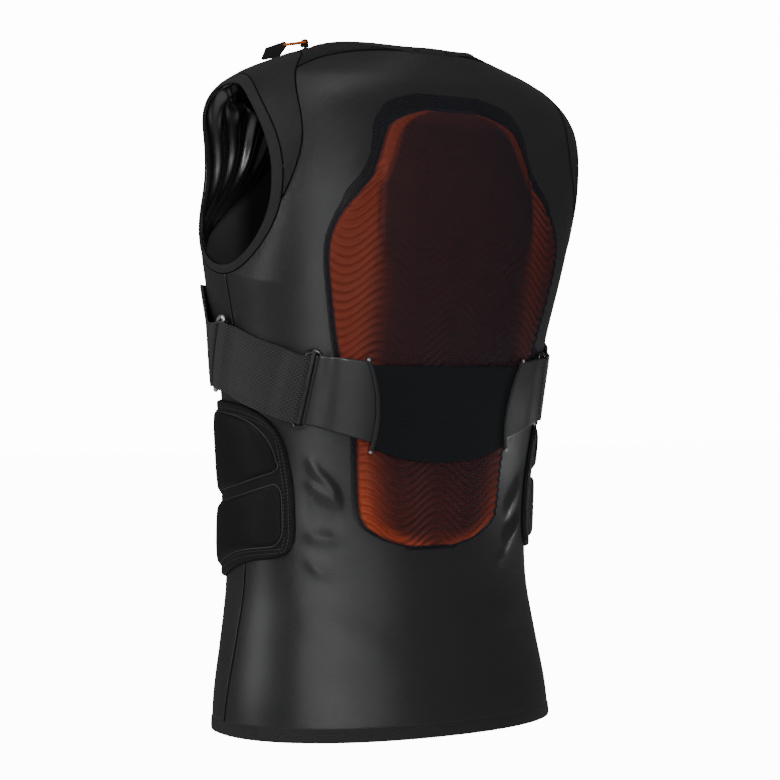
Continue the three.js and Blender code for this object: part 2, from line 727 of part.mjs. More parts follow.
// Lining inside the chest, creased on the slant
const liningMap = (u, v) =>
  spot(mix(LINING_FROM, FULL_TURN - LINING_FROM, u), mix(LINING_LOW, LINING_HIGH, v));
const creased = (off) => (u, v, phi, height) => {
  const slant = (Math.abs(phi - Math.PI) * FRONT_DEPTH + height) / LINING_PITCH;
  return off - LINING_DEEP + LINING_FOLD * Math.sin(FULL_TURN * slant);
};
addPanel("chest_lining", liningMap, 1, creased(-LINING_THICK), creased(0), 18, 4, GLOSSY_LINING);

// Back pad: crowned foam with the outline of the table
function padHalf(height) {
  return PAD_HALF_WIDTH * readTable(PAD_OUTLINE, "up", "wide", (height - PAD_LOW) / PAD_TALL);
}
const UNDER_PAD = FABRIC + LAYER_GAP;
function padTop(girth, height) {
  const across = Math.min(Math.abs(girth) / padHalf(height), 1);
  const up = THREE.MathUtils.clamp((height - PAD_LOW) / PAD_TALL, 0, 1);
  const dome = (1 - across ** 3) * (1 - Math.abs(2 * up - 1) ** 8);
  return UNDER_PAD + PAD_EDGE + (PAD_CROWN - PAD_EDGE) * dome;
}
const padRows = PAD_OUTLINE.map((row) => PAD_LOW + PAD_TALL * row.up);
const padColumns = [-1, -0.85, -0.6, -0.3, 0, 0.3, 0.6, 0.85, 1];
const padSpot = (u, v) => {
  const height = padRows[Math.round(v * (padRows.length - 1))];
  return { girth: padColumns[Math.round(u * (padColumns.length - 1))] * padHalf(height), height };
};
const padFace = (off) => (u, v) => {
  const { girth, height } = padSpot(u, v);
  return wrapped(girth, height, off(girth, height));
};
addSlab(
  "back_pad",
  padFace(() => UNDER_PAD),
  padFace(padTop),
  padColumns.length - 1,
  padRows.length - 1,
  PAD_FOAM,
);

// Sheer cover over the pad, stitched down outside its edge
const PAD_HIGH = PAD_LOW + PAD_TALL;

// Rows of the cover from its foot up: on is 1 where it lies over the pad, and seam is its half width
// as a share of the seam's.
const coverRows = [
  { height: PAD_LOW - COVER_HEM, on: 0, seam: 0.9 },
  { height: PAD_LOW - HEM_TURN * COVER_HEM, on: 0, seam: 1 },
  { height: PAD_LOW - SEAM_GAP, on: 1, seam: 1 },
  ...padRows.map((height) => ({ height, on: 1, seam: 1 })),
  { height: PAD_HIGH + SEAM_GAP, on: 1, seam: 1 },
  { height: PAD_HIGH + COVER_HEM, on: 0, seam: 0.97 },
  { height: PAD_HIGH + 0.6 * COVER_ABOVE, on: 0, seam: 0.8 },
  { height: PAD_HIGH + COVER_ABOVE, on: 0, seam: 0.46 },
];
function seamHalf(height) {
  const inside = THREE.MathUtils.clamp(height, PAD_LOW, PAD_LOW + PAD_TALL);
  const out = readTable(COVER_SEAM, "up", "out", (inside - PAD_LOW) / PAD_TALL);
  return padHalf(inside) + COVER_SIDE * out;
}
function coverSpot(u, v) {
  const row = coverRows[Math.round(v * (coverRows.length - 1))];
  const index = Math.round(u * (padColumns.length + 3));
  const place = index - 2;
  const inside = THREE.MathUtils.clamp(row.height, PAD_LOW, PAD_HIGH);
  const seam = seamHalf(inside) * row.seam;
  const half = Math.min(padHalf(inside) + SEAM_GAP, seam - COVER_HEM);
  const sign = place < padColumns.length / 2 ? -1 : 1;
  if (index === 0 || index === padColumns.length + 3) return { girth: sign * seam, row, on: 0 };
  if (index === 1 || index === padColumns.length + 2)
    return { girth: sign * mix(half, seam, HEM_TURN), row, on: 0 };
  return { girth: padColumns[place] * half, row, on: row.on };
}
const coverFace = (extra) => (u, v) => {
  const { girth, row, on } = coverSpot(u, v);
  const inside = THREE.MathUtils.clamp(row.height, PAD_LOW, PAD_HIGH);
  const off = on ? padTop(girth, inside) + LAYER_GAP : UNDER_PAD;
  return wrapped(girth, row.height, off + extra);
};
addSlab("pad_cover", coverFace(0), coverFace(COVER), padColumns.length + 3, coverRows.length - 1, SHEER);

// A sheet of even thickness laid through stations along its length, each giving a place for every
// share v of its width as a length round the girth, a height and a distance off the torso.
function addSheet(name, stations, across, thick, finish) {
  const columns = stations.length - 1;
  const middle = (i, j) => {
    const { girth, height, off } = stations[THREE.MathUtils.clamp(i, 0, columns)](j / across);
    return wrapped(girth, height, off);
  };
  const face = (offset) => (u, v) => {
    const i = Math.round(u * columns);
    const j = Math.round(v * across);
    const before = middle(i - 1, j);
    const after = middle(i + 1, j);
    const low = middle(i, Math.max(j - 1, 0));
    const high = middle(i, Math.min(j + 1, across));
    const normal = after.sub(before).cross(high.sub(low)).normalize();
    return middle(i, j).addScaledVector(normal, offset);
  };
  return addSlab(name, face(-thick / 2), face(thick / 2), columns, across, finish);
}

// Stations of a strap end that turns round a bar: from under the bar to over it, or back again,
// passing the side of the bar that faces away from the strap.
function turnRound(bar, ahead, steps, heightAt) {
  const radius = WIRE / 2 + LOOP_GAP + STRAP_THICK / 2;
  return Array.from({ length: steps + 1 }, (_, k) => (v) => {
    const turn = mix(-Math.PI / 2, Math.PI / 2, k / steps);
    const height = heightAt(v);
    const girth = bar(height) - ahead * radius * Math.cos(turn);
    return { girth, height, off: RING_LIFT + radius * Math.sin(turn) };
  });
}

// Lift of the belt off the torso as it comes off the pad towards the rings.
function beltLift(girth) {
  const out = Math.abs(girth) / WING_END;
  return BELT_CROWN * readTable(BELT_FALL, "out", "lift", out);
}
const barAt = (height) => BAR_AT + BAR_BOW * ((height - BAR_WAIST) / (BELT_TALL / 2)) ** 2;
const rearBar = (place) => (height) =>
  REAR_RING_AT + REAR_RING_LEAN * (height - REAR_RING_UP) + (place * (RING_WIDE - WIRE)) / 2;
const sideBar = (place) => (height) =>
  SIDE_RING_AT + SIDE_RING_LEAN * (height - SIDE_RING_UP) + (place * (RING_WIDE - WIRE)) / 2;

// Belt centre panel, dipping in the middle of its lower edge
const centreShares = [-1, -0.7, -0.35, 0, 0.35, 0.7, 1];
const centreStations = centreShares.map((share) => (v) => {
  const low = BELT_LOW - CENTRE_DIP * (1 - share * share);
  const height = mix(low, BELT_LOW + BELT_TALL - CENTRE_DROP, v);
  const girth = share * (barAt(height) - SEAM_GAP);
  return { girth, height, off: beltLift(girth) };
});
addSheet("belt_back_panel", centreStations, 4, BELT_THICK, SMOOTH_CLOTH);

// Rings of wire, rods bent to a rounded oblong and closed
function addRing(name, side, at, up, lean, finish) {
  const path = RING_PATH.map(({ across, along }) => {
    const height = up + (along * (RING_TALL - WIRE)) / 2;
    const girth = at + lean * (height - up) + (across * (RING_WIDE - WIRE)) / 2;
    return wrapped(side * girth, height, RING_LIFT);
  });
  const out = wrapped(side * at, up, RING_LIFT + 1).sub(wrapped(side * at, up, RING_LIFT));
  return addLoop(name, path, out, WIRE / 2, 6, finish);
}

// A rod of round section along a closed path that lies flat, given the direction off its plane.
function addLoop(name, path, out, radius, sides, finish) {
  const count = path.length;
  const points = path.flatMap((centre, i) => {
    const tangent = path[(i + 1) % count].clone().sub(path[(i + count - 1) % count]).normalize();
    const aside = tangent.clone().cross(out).normalize();
    const up = aside.clone().cross(tangent).normalize();
    return Array.from({ length: sides }, (_, k) => {
      const turn = (FULL_TURN * k) / sides;
      const point = centre.clone().addScaledVector(aside, radius * Math.cos(turn));
      return point.addScaledVector(up, radius * Math.sin(turn));
    });
  });
  const at = (i, k) => (i % count) * sides + (k % sides);
  const faces = [];
  for (let i = 0; i < count; i++)
    for (let k = 0; k < sides; k++) {
      faces.push([at(i, k), at(i + 1, k), at(i + 1, k + 1)]);
      faces.push([at(i, k), at(i + 1, k + 1), at(i, k + 1)]);
    }
  return addMesh(name, points, faces, finish);
}

const TURN_STEPS = 6;
for (const [word, side] of SIDES) {
  const mirrored = (stations) => stations.map((station) => (v) => {
    const place = station(v);
    return { ...place, girth: side * place.girth };
  });

  // Wing of the belt, from the rib to the rear ring's near bar
  const wingHeight = (v) => mix(WING_FOOT, BELT_LOW + BELT_TALL + WING_RISE, v);
  const wingShares = [0, 0.25, 0.5, 0.72, 0.9];
  const wingStations = wingShares.map((share) => (v) => {
    const foot = mix(BELT_LOW + WING_STEP, WING_FOOT, share);
    const height = mix(foot, mix(BELT_LOW + BELT_TALL, wingHeight(1), share), v);
    const girth = mix(barAt(height) + SEAM_GAP, rearBar(-1)(height), share);
    const near = THREE.MathUtils.smoothstep(share, 0.6, 0.95);
    return { girth, height, off: mix(beltLift(girth), RING_LIFT + STRAP_OVER, near) };
  });
  const wingTurn = turnRound(rearBar(-1), -1, TURN_STEPS, wingHeight).reverse();
  const wing = [...wingStations, ...wingTurn];
  addSheet(`belt_wing_${word}`, mirrored(wing), 3, BELT_THICK, LAMINATE);

  // Rib over the joint of wing and centre panel
  const ribStations = [-1, 0, 1].map((share) => (v) => {
    const height = mix(BELT_LOW - RIB_END, BELT_LOW + BELT_TALL + RIB_END, v);
    const girth = barAt(height) + (share * BAR_WIDE) / 2;
    return { girth, height, off: beltLift(girth) + BELT_THICK / 2 + LAYER_GAP + BAR_THICK / 2 };
  });
  addSheet(`belt_rib_${word}`, mirrored(ribStations), 10, BAR_THICK, RUBBER);
  addRing(`rear_ring_${word}`, side, REAR_RING_AT, REAR_RING_UP, REAR_RING_LEAN, METAL);
  addRing(`side_ring_${word}`, side, SIDE_RING_AT, SIDE_RING_UP, SIDE_RING_LEAN, BRIGHT_METAL);

  // Elastic strap between the rings
  const widthAt = (up) => (v) => up + STRAP * (v - 0.5);
  const spanShares = [0.1, 0.2, 0.35, 0.5, 0.65, 0.8, 0.9];
  const sideStations = spanShares.map((share) => (v) => {
    const height = widthAt(mix(REAR_RING_UP, SIDE_RING_UP, share))(v);
    const girth = mix(rearBar(1)(height), sideBar(-1)(height), share);
    const near = 1 - THREE.MathUtils.smoothstep(Math.min(share, 1 - share), 0.05, 0.22);
    return { girth, height, off: mix(STRAP_LIFT, RING_LIFT + STRAP_OVER, near) };
  });
  const start = turnRound(rearBar(1), 1, TURN_STEPS, widthAt(REAR_RING_UP));
  const finish = turnRound(sideBar(-1), -1, TURN_STEPS, widthAt(SIDE_RING_UP)).reverse();
  addSheet(`side_strap_${word}`, mirrored([...start, ...sideStations, ...finish]), 2, STRAP_THICK, ELASTIC);

  // Front strap, the left over the right at the middle of the front
  const over = side > 0;
  const frontShares = [0.06, 0.14, 0.25, 0.4, 0.55, 0.7, 0.85, 1];
  const frontStations = frontShares.map((share) => (v) => {
    const rise = THREE.MathUtils.smoothstep(share, 0.06, 0.3);
    const wide = mix(STRAP, FRONT_STRAP, rise);
    const height = mix(SIDE_RING_UP, FRONT_STRAP_UP, rise) + wide * (v - 0.5);
    const half = girthAt(Math.PI, height);
    const girth = mix(sideBar(1)(height), half + (over ? FRONT_LAP : -FRONT_SHORT), share);
    const near = 1 - THREE.MathUtils.smoothstep(share, 0.03, 0.2);
    const lapped = over ? FRONT_STRAP_OVER * THREE.MathUtils.smoothstep(share, 0.6, 0.85) : 0;
    const lift = FRONT_STRAP_LIFT + lapped;
    return { girth, height, off: mix(lift, RING_LIFT + STRAP_OVER, near) };
  });
  const frontTurn = turnRound(sideBar(1), 1, TURN_STEPS, widthAt(SIDE_RING_UP));
  addSheet(`front_strap_${word}`, mirrored([...frontTurn, ...frontStations]), 2, STRAP_THICK, ELASTIC);
}

// Flank pads: a base with a rounded outline and two crowned cells on it
const flankSpot = (along, up) =>
  new THREE.Vector2(mix(FLANK_BACK, FLANK_FRONT, along), FLANK_LOW + FLANK_TALL * up);
const flankEdge = (table) => (t) => {
  const along = mix(table[0].along, 1, t);
  return flankSpot(along, readTable(table, "along", "up", along));
};
const backEdgeSpot = (up) => flankSpot(readTable(FLANK_BACK_EDGE, "up", "along", up), up);
const flankBase = patch(
  flankEdge(FLANK_FOOT),
  flankEdge(FLANK_TOP),
  (t) => backEdgeSpot(mix(FLANK_FOOT[0].up, FLANK_TOP[0].up, t)),
  straight(flankEdge(FLANK_FOOT)(1), flankEdge(FLANK_TOP)(1)),
);
function cellMap(foot, top, footLift, topLift) {
  const inset = CELL_MARGIN / (FLANK_FRONT - FLANK_BACK);
  return (u, v) => {
    const pinch = CELL_ROUND * (2 * v - 1) ** 6;
    const along = mix(inset + 0.03 + pinch, 1 - inset / 2, u);
    const low = readTable(foot, "along", "up", Math.max(along, foot[0].along)) + footLift;
    const high = readTable(top, "along", "up", Math.max(along, top[0].along)) + topLift;
    const edge = readTable(FLANK_BACK_EDGE, "up", "along", mix(low, high, v)) + inset + pinch;
    return flankSpot(mix(edge, 1 - inset / 2, u), mix(low, high, v));
  };
}
const UNDER_CELL = UNDER_PAD + FLANK_THICK + CELL_GAP;
const flankFace = (map, side, off) => (u, v) => {
  const { x: girth, y: height } = map(u, v);
  return wrapped(side * girth, height, off(u, v));
};
const flat = (off) => () => off;
const pillow = (u, v) => {
  const crown = (1 - (2 * u - 1) ** 4) * (1 - (2 * v - 1) ** 4);
  return UNDER_CELL + CELL_EDGE + (CELL_THICK - CELL_EDGE) * crown;
};
const marginUp = CELL_MARGIN / FLANK_TALL;
for (const [word, side] of SIDES) {
  const under = flankFace(flankBase, side, flat(UNDER_PAD));
  const over = flankFace(flankBase, side, flat(UNDER_PAD + FLANK_THICK));
  addSlab(`flank_pad_${word}`, under, over, 10, 6, CLOTH);
  const cells = [
    ["lower", cellMap(FLANK_FOOT, FLANK_DIVIDE, marginUp, -marginUp / 2)],
    ["upper", cellMap(FLANK_DIVIDE, FLANK_TOP, marginUp / 2, -marginUp)],
  ];
  for (const [place, map] of cells) {
    const foot = flankFace(map, side, flat(UNDER_CELL));
    addSlab(`flank_cell_${place}_${word}`, foot, flankFace(map, side, pillow), 8, 4, SMOOTH_CLOTH);
  }
}

// A flat outline given thickness, in the plane of the shoulder ridge, centred on y.
function addOutline(name, shape, thick, place, side, finish) {
  const extruded = new THREE.ExtrudeGeometry(shape, { depth: thick, bevelEnabled: false, curveSegments: 5 });
  extruded.deleteAttribute("normal").deleteAttribute("uv");
  const merged = mergeVertices(extruded.rotateX(Math.PI / 2).translate(0, thick / 2, 0), 1e-3);
  const points = [];
  const position = merged.getAttribute("position");
  for (let i = 0; i < position.count; i++) {
    const point = new THREE.Vector3().fromBufferAttribute(position, i).applyMatrix4(place);
    points.push(new THREE.Vector3(side * point.x, point.y, point.z));
  }
  const faces = [];
  for (let i = 0; i < merged.index.count; i += 3)
    faces.push([0, 1, 2].map((k) => merged.index.getX(i + k)));
  return addMesh(name, points, faces, finish);
}

function circleHole(x, y, radius) {
  return new THREE.Path().absarc(x, y, radius, 0, FULL_TURN, true);
}

// Zip sliders at the ridge, with a bail on top; the pull hangs outwards on a coated link. Link and tab
// slope by shares of the ridge's own fall.
const EYE = LINK_WIRE / 2 + LINK_EASE;
const ridge = bare(Math.PI / 2, ridgeHeight(ZIP_OUT));
const sliderFoot = ZIP_THICK + LAYER_GAP;
const bailUp = sliderFoot + SLIDER_TALL + EYE;
const linkStart = new THREE.Vector3(ridge.x, SLIDER_BACK, ridge.z + bailUp);
const ridgeSlope = (ridge.z - ridgeHeight(ZIP_OUT + LINK_LONG)) / LINK_LONG;
const linkSlope = LINK_LIE * ridgeSlope;
const linkDown = new THREE.Vector3(1, 0, -linkSlope).normalize();
const linkEnd = linkStart.clone().addScaledVector(linkDown, LINK_LONG);

const sliderShape = new THREE.Shape();
sliderShape.moveTo(-SLIDER_WIDE / 2, sliderFoot);
sliderShape.lineTo(SLIDER_WIDE / 2, sliderFoot);
sliderShape.lineTo(SLIDER_WIDE / 2, sliderFoot + SLIDER_TALL / 2);
sliderShape.lineTo(EYE + BAIL_WALL, bailUp);
sliderShape.absarc(0, bailUp, EYE + BAIL_WALL, 0, Math.PI, false);
sliderShape.lineTo(-SLIDER_WIDE / 2, sliderFoot + SLIDER_TALL / 2);
sliderShape.holes.push(circleHole(0, bailUp, EYE));

// The tab is a slanted plate with a round eye at its upper corner.
const tabShape = new THREE.Shape();
tabShape.moveTo(TAB_SLANT, -TAB_WIDE);
tabShape.lineTo(TAB_LONG - TAB_ROUND, -TAB_WIDE);
tabShape.lineTo(TAB_LONG, TAB_ROUND - TAB_WIDE);
tabShape.lineTo(TAB_LONG - TAB_SLANT, TAB_RISE);
tabShape.absarc(0, 0, EYE + BAIL_WALL, Math.PI / 2, 1.2 * Math.PI, false);
tabShape.holes.push(circleHole(0, 0, EYE));

for (const [word, side] of SIDES) {
  const slider = new THREE.Matrix4().makeTranslation(ridge.x, SLIDER_BACK, ridge.z);
  addOutline(`zip_slider_${word}`, sliderShape, SLIDER_DEEP, slider, side, METAL);
  const tab = new THREE.Matrix4().makeRotationY(Math.atan(TAB_LIE * ridgeSlope)).setPosition(linkEnd);
  addOutline(`pull_tab_${word}`, tabShape, TAB_THICK, tab, side, RUBBER);
  const half = SLIDER_DEEP / 2 + LINK_EASE + LINK_WIRE / 2;
  const linkPath = LINK_PATH.map(({ along, across }) => {
    const point = linkStart.clone().lerp(linkEnd, along);
    return new THREE.Vector3(side * point.x, point.y + across * half, point.z);
  });
  const off = new THREE.Vector3(side * linkSlope, 0, 1).normalize();
  addLoop(`pull_link_${word}`, linkPath, off, LINK_WIRE / 2, 8, ORANGE);
}

body.position.z = -SHOULDER_REST;

export default group;
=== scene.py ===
import math

import bmesh
import bpy
import numpy as np
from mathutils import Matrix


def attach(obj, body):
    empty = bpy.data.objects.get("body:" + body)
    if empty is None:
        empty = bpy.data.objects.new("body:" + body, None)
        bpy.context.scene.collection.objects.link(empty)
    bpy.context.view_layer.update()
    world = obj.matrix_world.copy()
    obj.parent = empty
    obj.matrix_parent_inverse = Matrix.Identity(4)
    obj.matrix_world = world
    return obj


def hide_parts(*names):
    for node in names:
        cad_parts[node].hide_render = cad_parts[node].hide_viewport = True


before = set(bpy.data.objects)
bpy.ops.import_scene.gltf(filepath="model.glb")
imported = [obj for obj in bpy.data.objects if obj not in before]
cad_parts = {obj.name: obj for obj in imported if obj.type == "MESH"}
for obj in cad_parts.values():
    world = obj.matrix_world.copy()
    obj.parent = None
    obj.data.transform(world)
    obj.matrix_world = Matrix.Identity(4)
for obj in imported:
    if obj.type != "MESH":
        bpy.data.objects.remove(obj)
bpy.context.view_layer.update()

# Camera, backdrop and studio lights
# The camera looks level at the wearer's back from their left, from two metres away. The floor is a
# plain pale sheet well below the vest, and the lights are large soft panels.
CAMERA_BACK = 2.0
CAMERA_ASIDE = 0.007
CAMERA_HEIGHT = -0.318
CAMERA_TURN = 148
LENS_PIXELS = 2000
PICTURE = 780
SENSOR = 36

turn = math.radians(CAMERA_TURN)
towards = np.array([math.sin(turn), -math.cos(turn), 0])
rightwards = np.array([math.cos(turn), math.sin(turn), 0])
camera = bpy.data.objects.new("camera", bpy.data.cameras.new("camera"))
camera.data.sensor_width = SENSOR
camera.data.lens = SENSOR * LENS_PIXELS / PICTURE
camera.location = CAMERA_BACK * towards + CAMERA_ASIDE * rightwards + [0, 0, CAMERA_HEIGHT]
camera.rotation_euler = (math.pi / 2, 0, turn)
bpy.context.scene.collection.objects.link(camera)
bpy.context.scene.camera = camera


def soft_panel(name, azimuth, height, distance, wide, tall, power, spread=180):
    """A light panel at an azimuth round the vest, aimed at the middle of the vest."""
    angle = math.radians(azimuth)
    place = np.array([math.sin(angle) * distance, -math.cos(angle) * distance, height])
    light = bpy.data.objects.new(name, bpy.data.lights.new(name, "AREA"))
    light.data.shape = "RECTANGLE"
    light.data.size = wide
    light.data.size_y = tall
    light.data.energy = power
    light.data.spread = math.radians(spread)
    light.location = place
    away = place - [0, 0, CAMERA_HEIGHT]
    flat = math.hypot(away[0], away[1])
    light.rotation_euler = (math.atan2(flat, away[2]), 0, math.atan2(away[1], away[0]) + math.pi / 2)
    bpy.context.scene.collection.objects.link(light)


soft_panel("camera_light", 156, 0.0, 2.5, 0.2, 2.2, 26)
soft_panel("left_light", 74, 0.3, 2.2, 1.0, 1.0, 15)
soft_panel("right_light", 262, -0.8, 1.0, 0.2, 0.2, 0.05, 16)
soft_panel("top_light", 150, 2.0, 0.9, 1.0, 1.0, 13)

FLOOR_DROP = -1.4
FLOOR_HALF = 30
FLOOR_COLOUR = (0.93, 0.93, 0.93)
BACKDROP_GLOW = 14
AMBIENT = 0.13


def set_socket(tree, socket, value):
    """Links a socket to an output, or sets it to a number or to a colour of three numbers."""
    if isinstance(value, bpy.types.NodeSocket):
        tree.links.new(value, socket)
    else:
        socket.default_value = (*value, 1) if isinstance(value, tuple) else value


def fill(tree, node, **sockets):
    """Sets or links the node's sockets, each named with _ for a space."""
    for name, value in sockets.items():
        set_socket(tree, node.inputs[name.replace("_", " ")], value)
    return node


def add_node(tree, kind, **sockets):
    """A new shader node, filled."""
    return fill(tree, tree.nodes.new("ShaderNode" + kind), **sockets)


def math_node(tree, operation, *values):
    """A Math node on links or plain numbers."""
    node = tree.nodes.new("ShaderNodeMath")
    node.operation = operation
    for socket, value in zip(node.inputs, values):
        set_socket(tree, socket, value)
    return node.outputs[0]


def new_finish(name):
    """A material, its node tree and its shader."""
    material = bpy.data.materials.new(name)
    material.use_nodes = True
    return material, material.node_tree, material.node_tree.nodes["Principled BSDF"]


floor_mesh = bpy.data.meshes.new("floor")
floor_mesh.from_pydata(
    [(x * FLOOR_HALF, y * FLOOR_HALF, FLOOR_DROP) for x, y in ((-1, -1), (1, -1), (1, 1), (-1, 1))],
    [], [(0, 1, 2, 3)])
floor = bpy.data.objects.new("floor", floor_mesh)
bpy.context.scene.collection.objects.link(floor)
floor_finish, tree, shader = new_finish("floor")
seen = add_node(tree, "LightPath").outputs["Is Camera Ray"]
fill(tree, shader, Base_Color=FLOOR_COLOUR, Emission_Color=FLOOR_COLOUR,
     Emission_Strength=math_node(tree, "MULTIPLY", seen, BACKDROP_GLOW))
floor_mesh.materials.append(floor_finish)

world = bpy.data.worlds.new("studio")
world.use_nodes = True
bpy.context.scene.world = world
tree = world.node_tree
seen = add_node(tree, "LightPath").outputs["Is Camera Ray"]
around = add_node(tree, "Background", Strength=AMBIENT).outputs[0]
backdrop = fill(tree, tree.nodes["Background"], Color=(1, 1, 1), Strength=BACKDROP_GLOW).outputs[0]
either = add_node(tree, "MixShader")
for socket, value in zip(either.inputs, (seen, around, backdrop)):
    set_socket(tree, socket, value)
fill(tree, tree.nodes["World Output"], Surface=either.outputs[0])

# Back panel
# One piece of black stretch mesh from side seam to side seam, drawn over the back and waist, with
# soft folds where the belt and the pad pull it. Everything else on the vest follows its form, so the
# torso's sections and the seams are worked out here.
HEIGHT = 0.66
HALF_WIDTH = 0.196
BACK_DEPTH = 0.126
FRONT_DEPTH = 0.137
SHOULDER_REST = 0.64
MM = 0.001
RAD = math.pi / 180
FABRIC = 1.6 * MM
SEAM_GAP = 0.05 * MM
TUCK = 1.5 * MM
LAYER_GAP = 0.9 * MM
HEM_TALL = 13 * MM
BINDING = 8 * MM
ARM_BEHIND = 8 * MM
ARM_HEIGHT = 0.527
ARM_HALF_DEPTH = 0.08
ARM_HALF_TALL = 0.086
ARM_FOOT = ARM_HEIGHT - ARM_HALF_TALL - BINDING
SHOULDER_WIDE = 26 * MM
NECK_HALF_WIDTH = 0.08
NECK_HALF_DEPTH = 0.088
NECK_BEHIND = 1 * MM
NECK_SQUARE = 2.6
YOKE_FALL = 3.2
UNDER_RIDGE = 0.82 * HEIGHT

# Sections: height, half width, depth behind and in front as shares of the sizes above, and the
# powers of the two half ovals.
SECTIONS = np.array([
    (-0.01, 0.908, 0.944, 0.832, 2.2, 2.2),
    (0.045, 0.888, 0.905, 0.883, 2.2, 2.2),
    (0.121, 0.842, 0.81, 0.92, 2.2, 2.2),
    (0.197, 0.801, 0.73, 0.964, 2.2, 2.2),
    (0.271, 0.791, 0.683, 1, 2.3, 2.2),
    (0.347, 0.796, 0.683, 0.964, 2.4, 2.2),
    (0.423, 0.811, 0.73, 0.949, 2.5, 2.25),
    (0.498, 0.828, 0.81, 0.964, 2.6, 2.3),
    (0.573, 0.862, 0.885, 0.98, 2.7, 2.35),
    (0.648, 0.91, 0.95, 0.956, 2.9, 2.4),
    (0.724, 0.954, 0.992, 0.876, 3.15, 2.5),
    (0.789, 0.985, 1, 0.803, 3.4, 2.5),
    (0.85, 1, 0.968, 0.73, 3.4, 2.5),
    (0.895, 0.98, 0.921, 0.65, 3.2, 2.5),
    (0.929, 0.903, 0.857, 0.555, 2.9, 2.4),
    (0.952, 0.791, 0.786, 0.46, 2.6, 2.3),
    (0.971, 0.643, 0.722, 0.372, 2.3, 2.2),
    (0.986, 0.505, 0.667, 0.314, 2.1, 2),
    (0.998, 0.378, 0.619, 0.263, 2, 2),
    (1.011, 0.245, 0.556, 0.204, 2, 2),
])


def read_table(places, values, at):
    """A smooth curve through the rows of a table: cubic pieces whose slope at a row is that of the
    line between its two neighbours."""
    last = len(places) - 1
    before, after = np.maximum(np.arange(last + 1) - 1, 0), np.minimum(np.arange(last + 1) + 1, last)
    slope = (values[after] - values[before]) / (places[after] - places[before])
    i = np.clip(np.searchsorted(places, at, side="left") - 1, 0, last - 1)
    span = places[i + 1] - places[i]
    t = np.clip((at - places[i]) / span, 0, 1)
    rise = values[i + 1] - values[i]
    start = span * slope[i] * t * (1 - t) ** 2
    end = span * slope[i + 1] * t * t * (t - 1)
    return values[i] + rise * t * t * (3 - 2 * t) + start + end


def read_pairs(table, at):
    """The second column of a table of two, read at values of the first."""
    return read_table(table[:, 0], table[:, 1], at)


def section_at(height):
    """Half width, depth behind, depth in front and the two powers of the section at a height."""
    up = np.asarray(height, float) / HEIGHT
    wide, back, front, square_back, square_front = (
        read_table(SECTIONS[:, 0], SECTIONS[:, k], up) for k in range(1, 6))
    return wide * HALF_WIDTH, back * BACK_DEPTH, front * FRONT_DEPTH, square_back, square_front


def reach(phi, height):
    """Distance from the centre line to the skin in the direction phi, 0 at the spine and 90 degrees
    at the wearer's left: the oval |x/w|^n + |y/d|^n = 1, with its own depth and power in front."""
    wide, back, front, square_back, square_front = section_at(height)
    behind = np.cos(phi) >= 0
    power = np.where(behind, square_back, square_front)
    depth = np.where(behind, back, front)
    x = np.abs(np.sin(phi) / wide) ** power
    y = np.abs(np.cos(phi) / depth) ** power
    return (x + y) ** (-1 / power)


def bare(phi, height):
    """The torso's own surface, at reach(phi, height) from the centre line."""
    r = reach(phi, height)
    return np.stack([r * np.sin(phi), r * np.cos(phi), height + 0 * phi], -1)


def unit(vectors):
    """Vectors made one long."""
    return vectors / np.maximum(np.linalg.norm(vectors, axis=-1, keepdims=True), 1e-12)


def skin(phi, height, off=0.0):
    """A point a distance off the torso, along the surface's normal, which is the cross product of
    the steps up it and round it."""
    phi, height = np.broadcast_arrays(np.asarray(phi, float), np.asarray(height, float))
    round_it = bare(phi + 0.02, height) - bare(phi - 0.02, height)
    up_it = bare(phi, height + MM) - bare(phi, height - MM)
    point = bare(phi, height)
    normal = unit(np.cross(up_it, round_it))
    inwards = (normal[..., :2] * point[..., :2]).sum(-1, keepdims=True) < 0
    normal = np.where(inwards, -normal, normal)
    return point + normal * np.asarray(off)[..., None]


# Length of cloth round the girth from the spine, tabled for each height and degree and turned about.
GIRTH_HEIGHTS = np.linspace(-0.02, 0.68, 281)
GIRTH_TURNS = np.radians(np.arange(0, 201))
GIRTH_LENGTHS = np.linspace(0, 0.7, 351)
ring_points = bare(GIRTH_TURNS[None, :], GIRTH_HEIGHTS[:, None])[..., :2]
ring_steps = np.linalg.norm(np.diff(ring_points, axis=1), axis=-1)
girth_table = np.concatenate([np.zeros((len(GIRTH_HEIGHTS), 1)), np.cumsum(ring_steps, 1)], 1)
turn_table = np.array([np.interp(GIRTH_LENGTHS, row, GIRTH_TURNS) for row in girth_table])


def sample(table, rows, columns, row, column):
    """A value of a table between its rows and columns, which are evenly spaced."""
    y = np.clip((row - rows[0]) / (rows[1] - rows[0]), 0, len(rows) - 1.001)
    x = np.clip((column - columns[0]) / (columns[1] - columns[0]), 0, len(columns) - 1.001)
    i, j = y.astype(int), x.astype(int)
    y, x = y - i, x - j
    low = table[i, j] * (1 - x) + table[i, j + 1] * x
    high = table[i + 1, j] * (1 - x) + table[i + 1, j + 1] * x
    return low * (1 - y) + high * y


def phi_at(girth, height):
    """Direction at a length of cloth round the girth."""
    girth, height = np.broadcast_arrays(girth, height)
    return np.sign(girth) * sample(turn_table, GIRTH_HEIGHTS, GIRTH_LENGTHS, height, np.abs(girth))


def girth_at(phi, height):
    """Length of cloth round the girth at a direction."""
    phi, height = np.broadcast_arrays(phi, height)
    return np.sign(phi) * sample(girth_table, GIRTH_HEIGHTS, GIRTH_TURNS, height, np.abs(phi))


def wrapped(girth, height, off):
    """A point given by its length round the girth, its height and its distance off the torso."""
    return skin(phi_at(girth, height), height, off)


def smooth_step(value, low, high):
    """0 below low, 1 above high, and the cubic 3t^2 - 2t^3 between."""
    t = np.clip((value - low) / (high - low), 0, 1)
    return t * t * (3 - 2 * t)


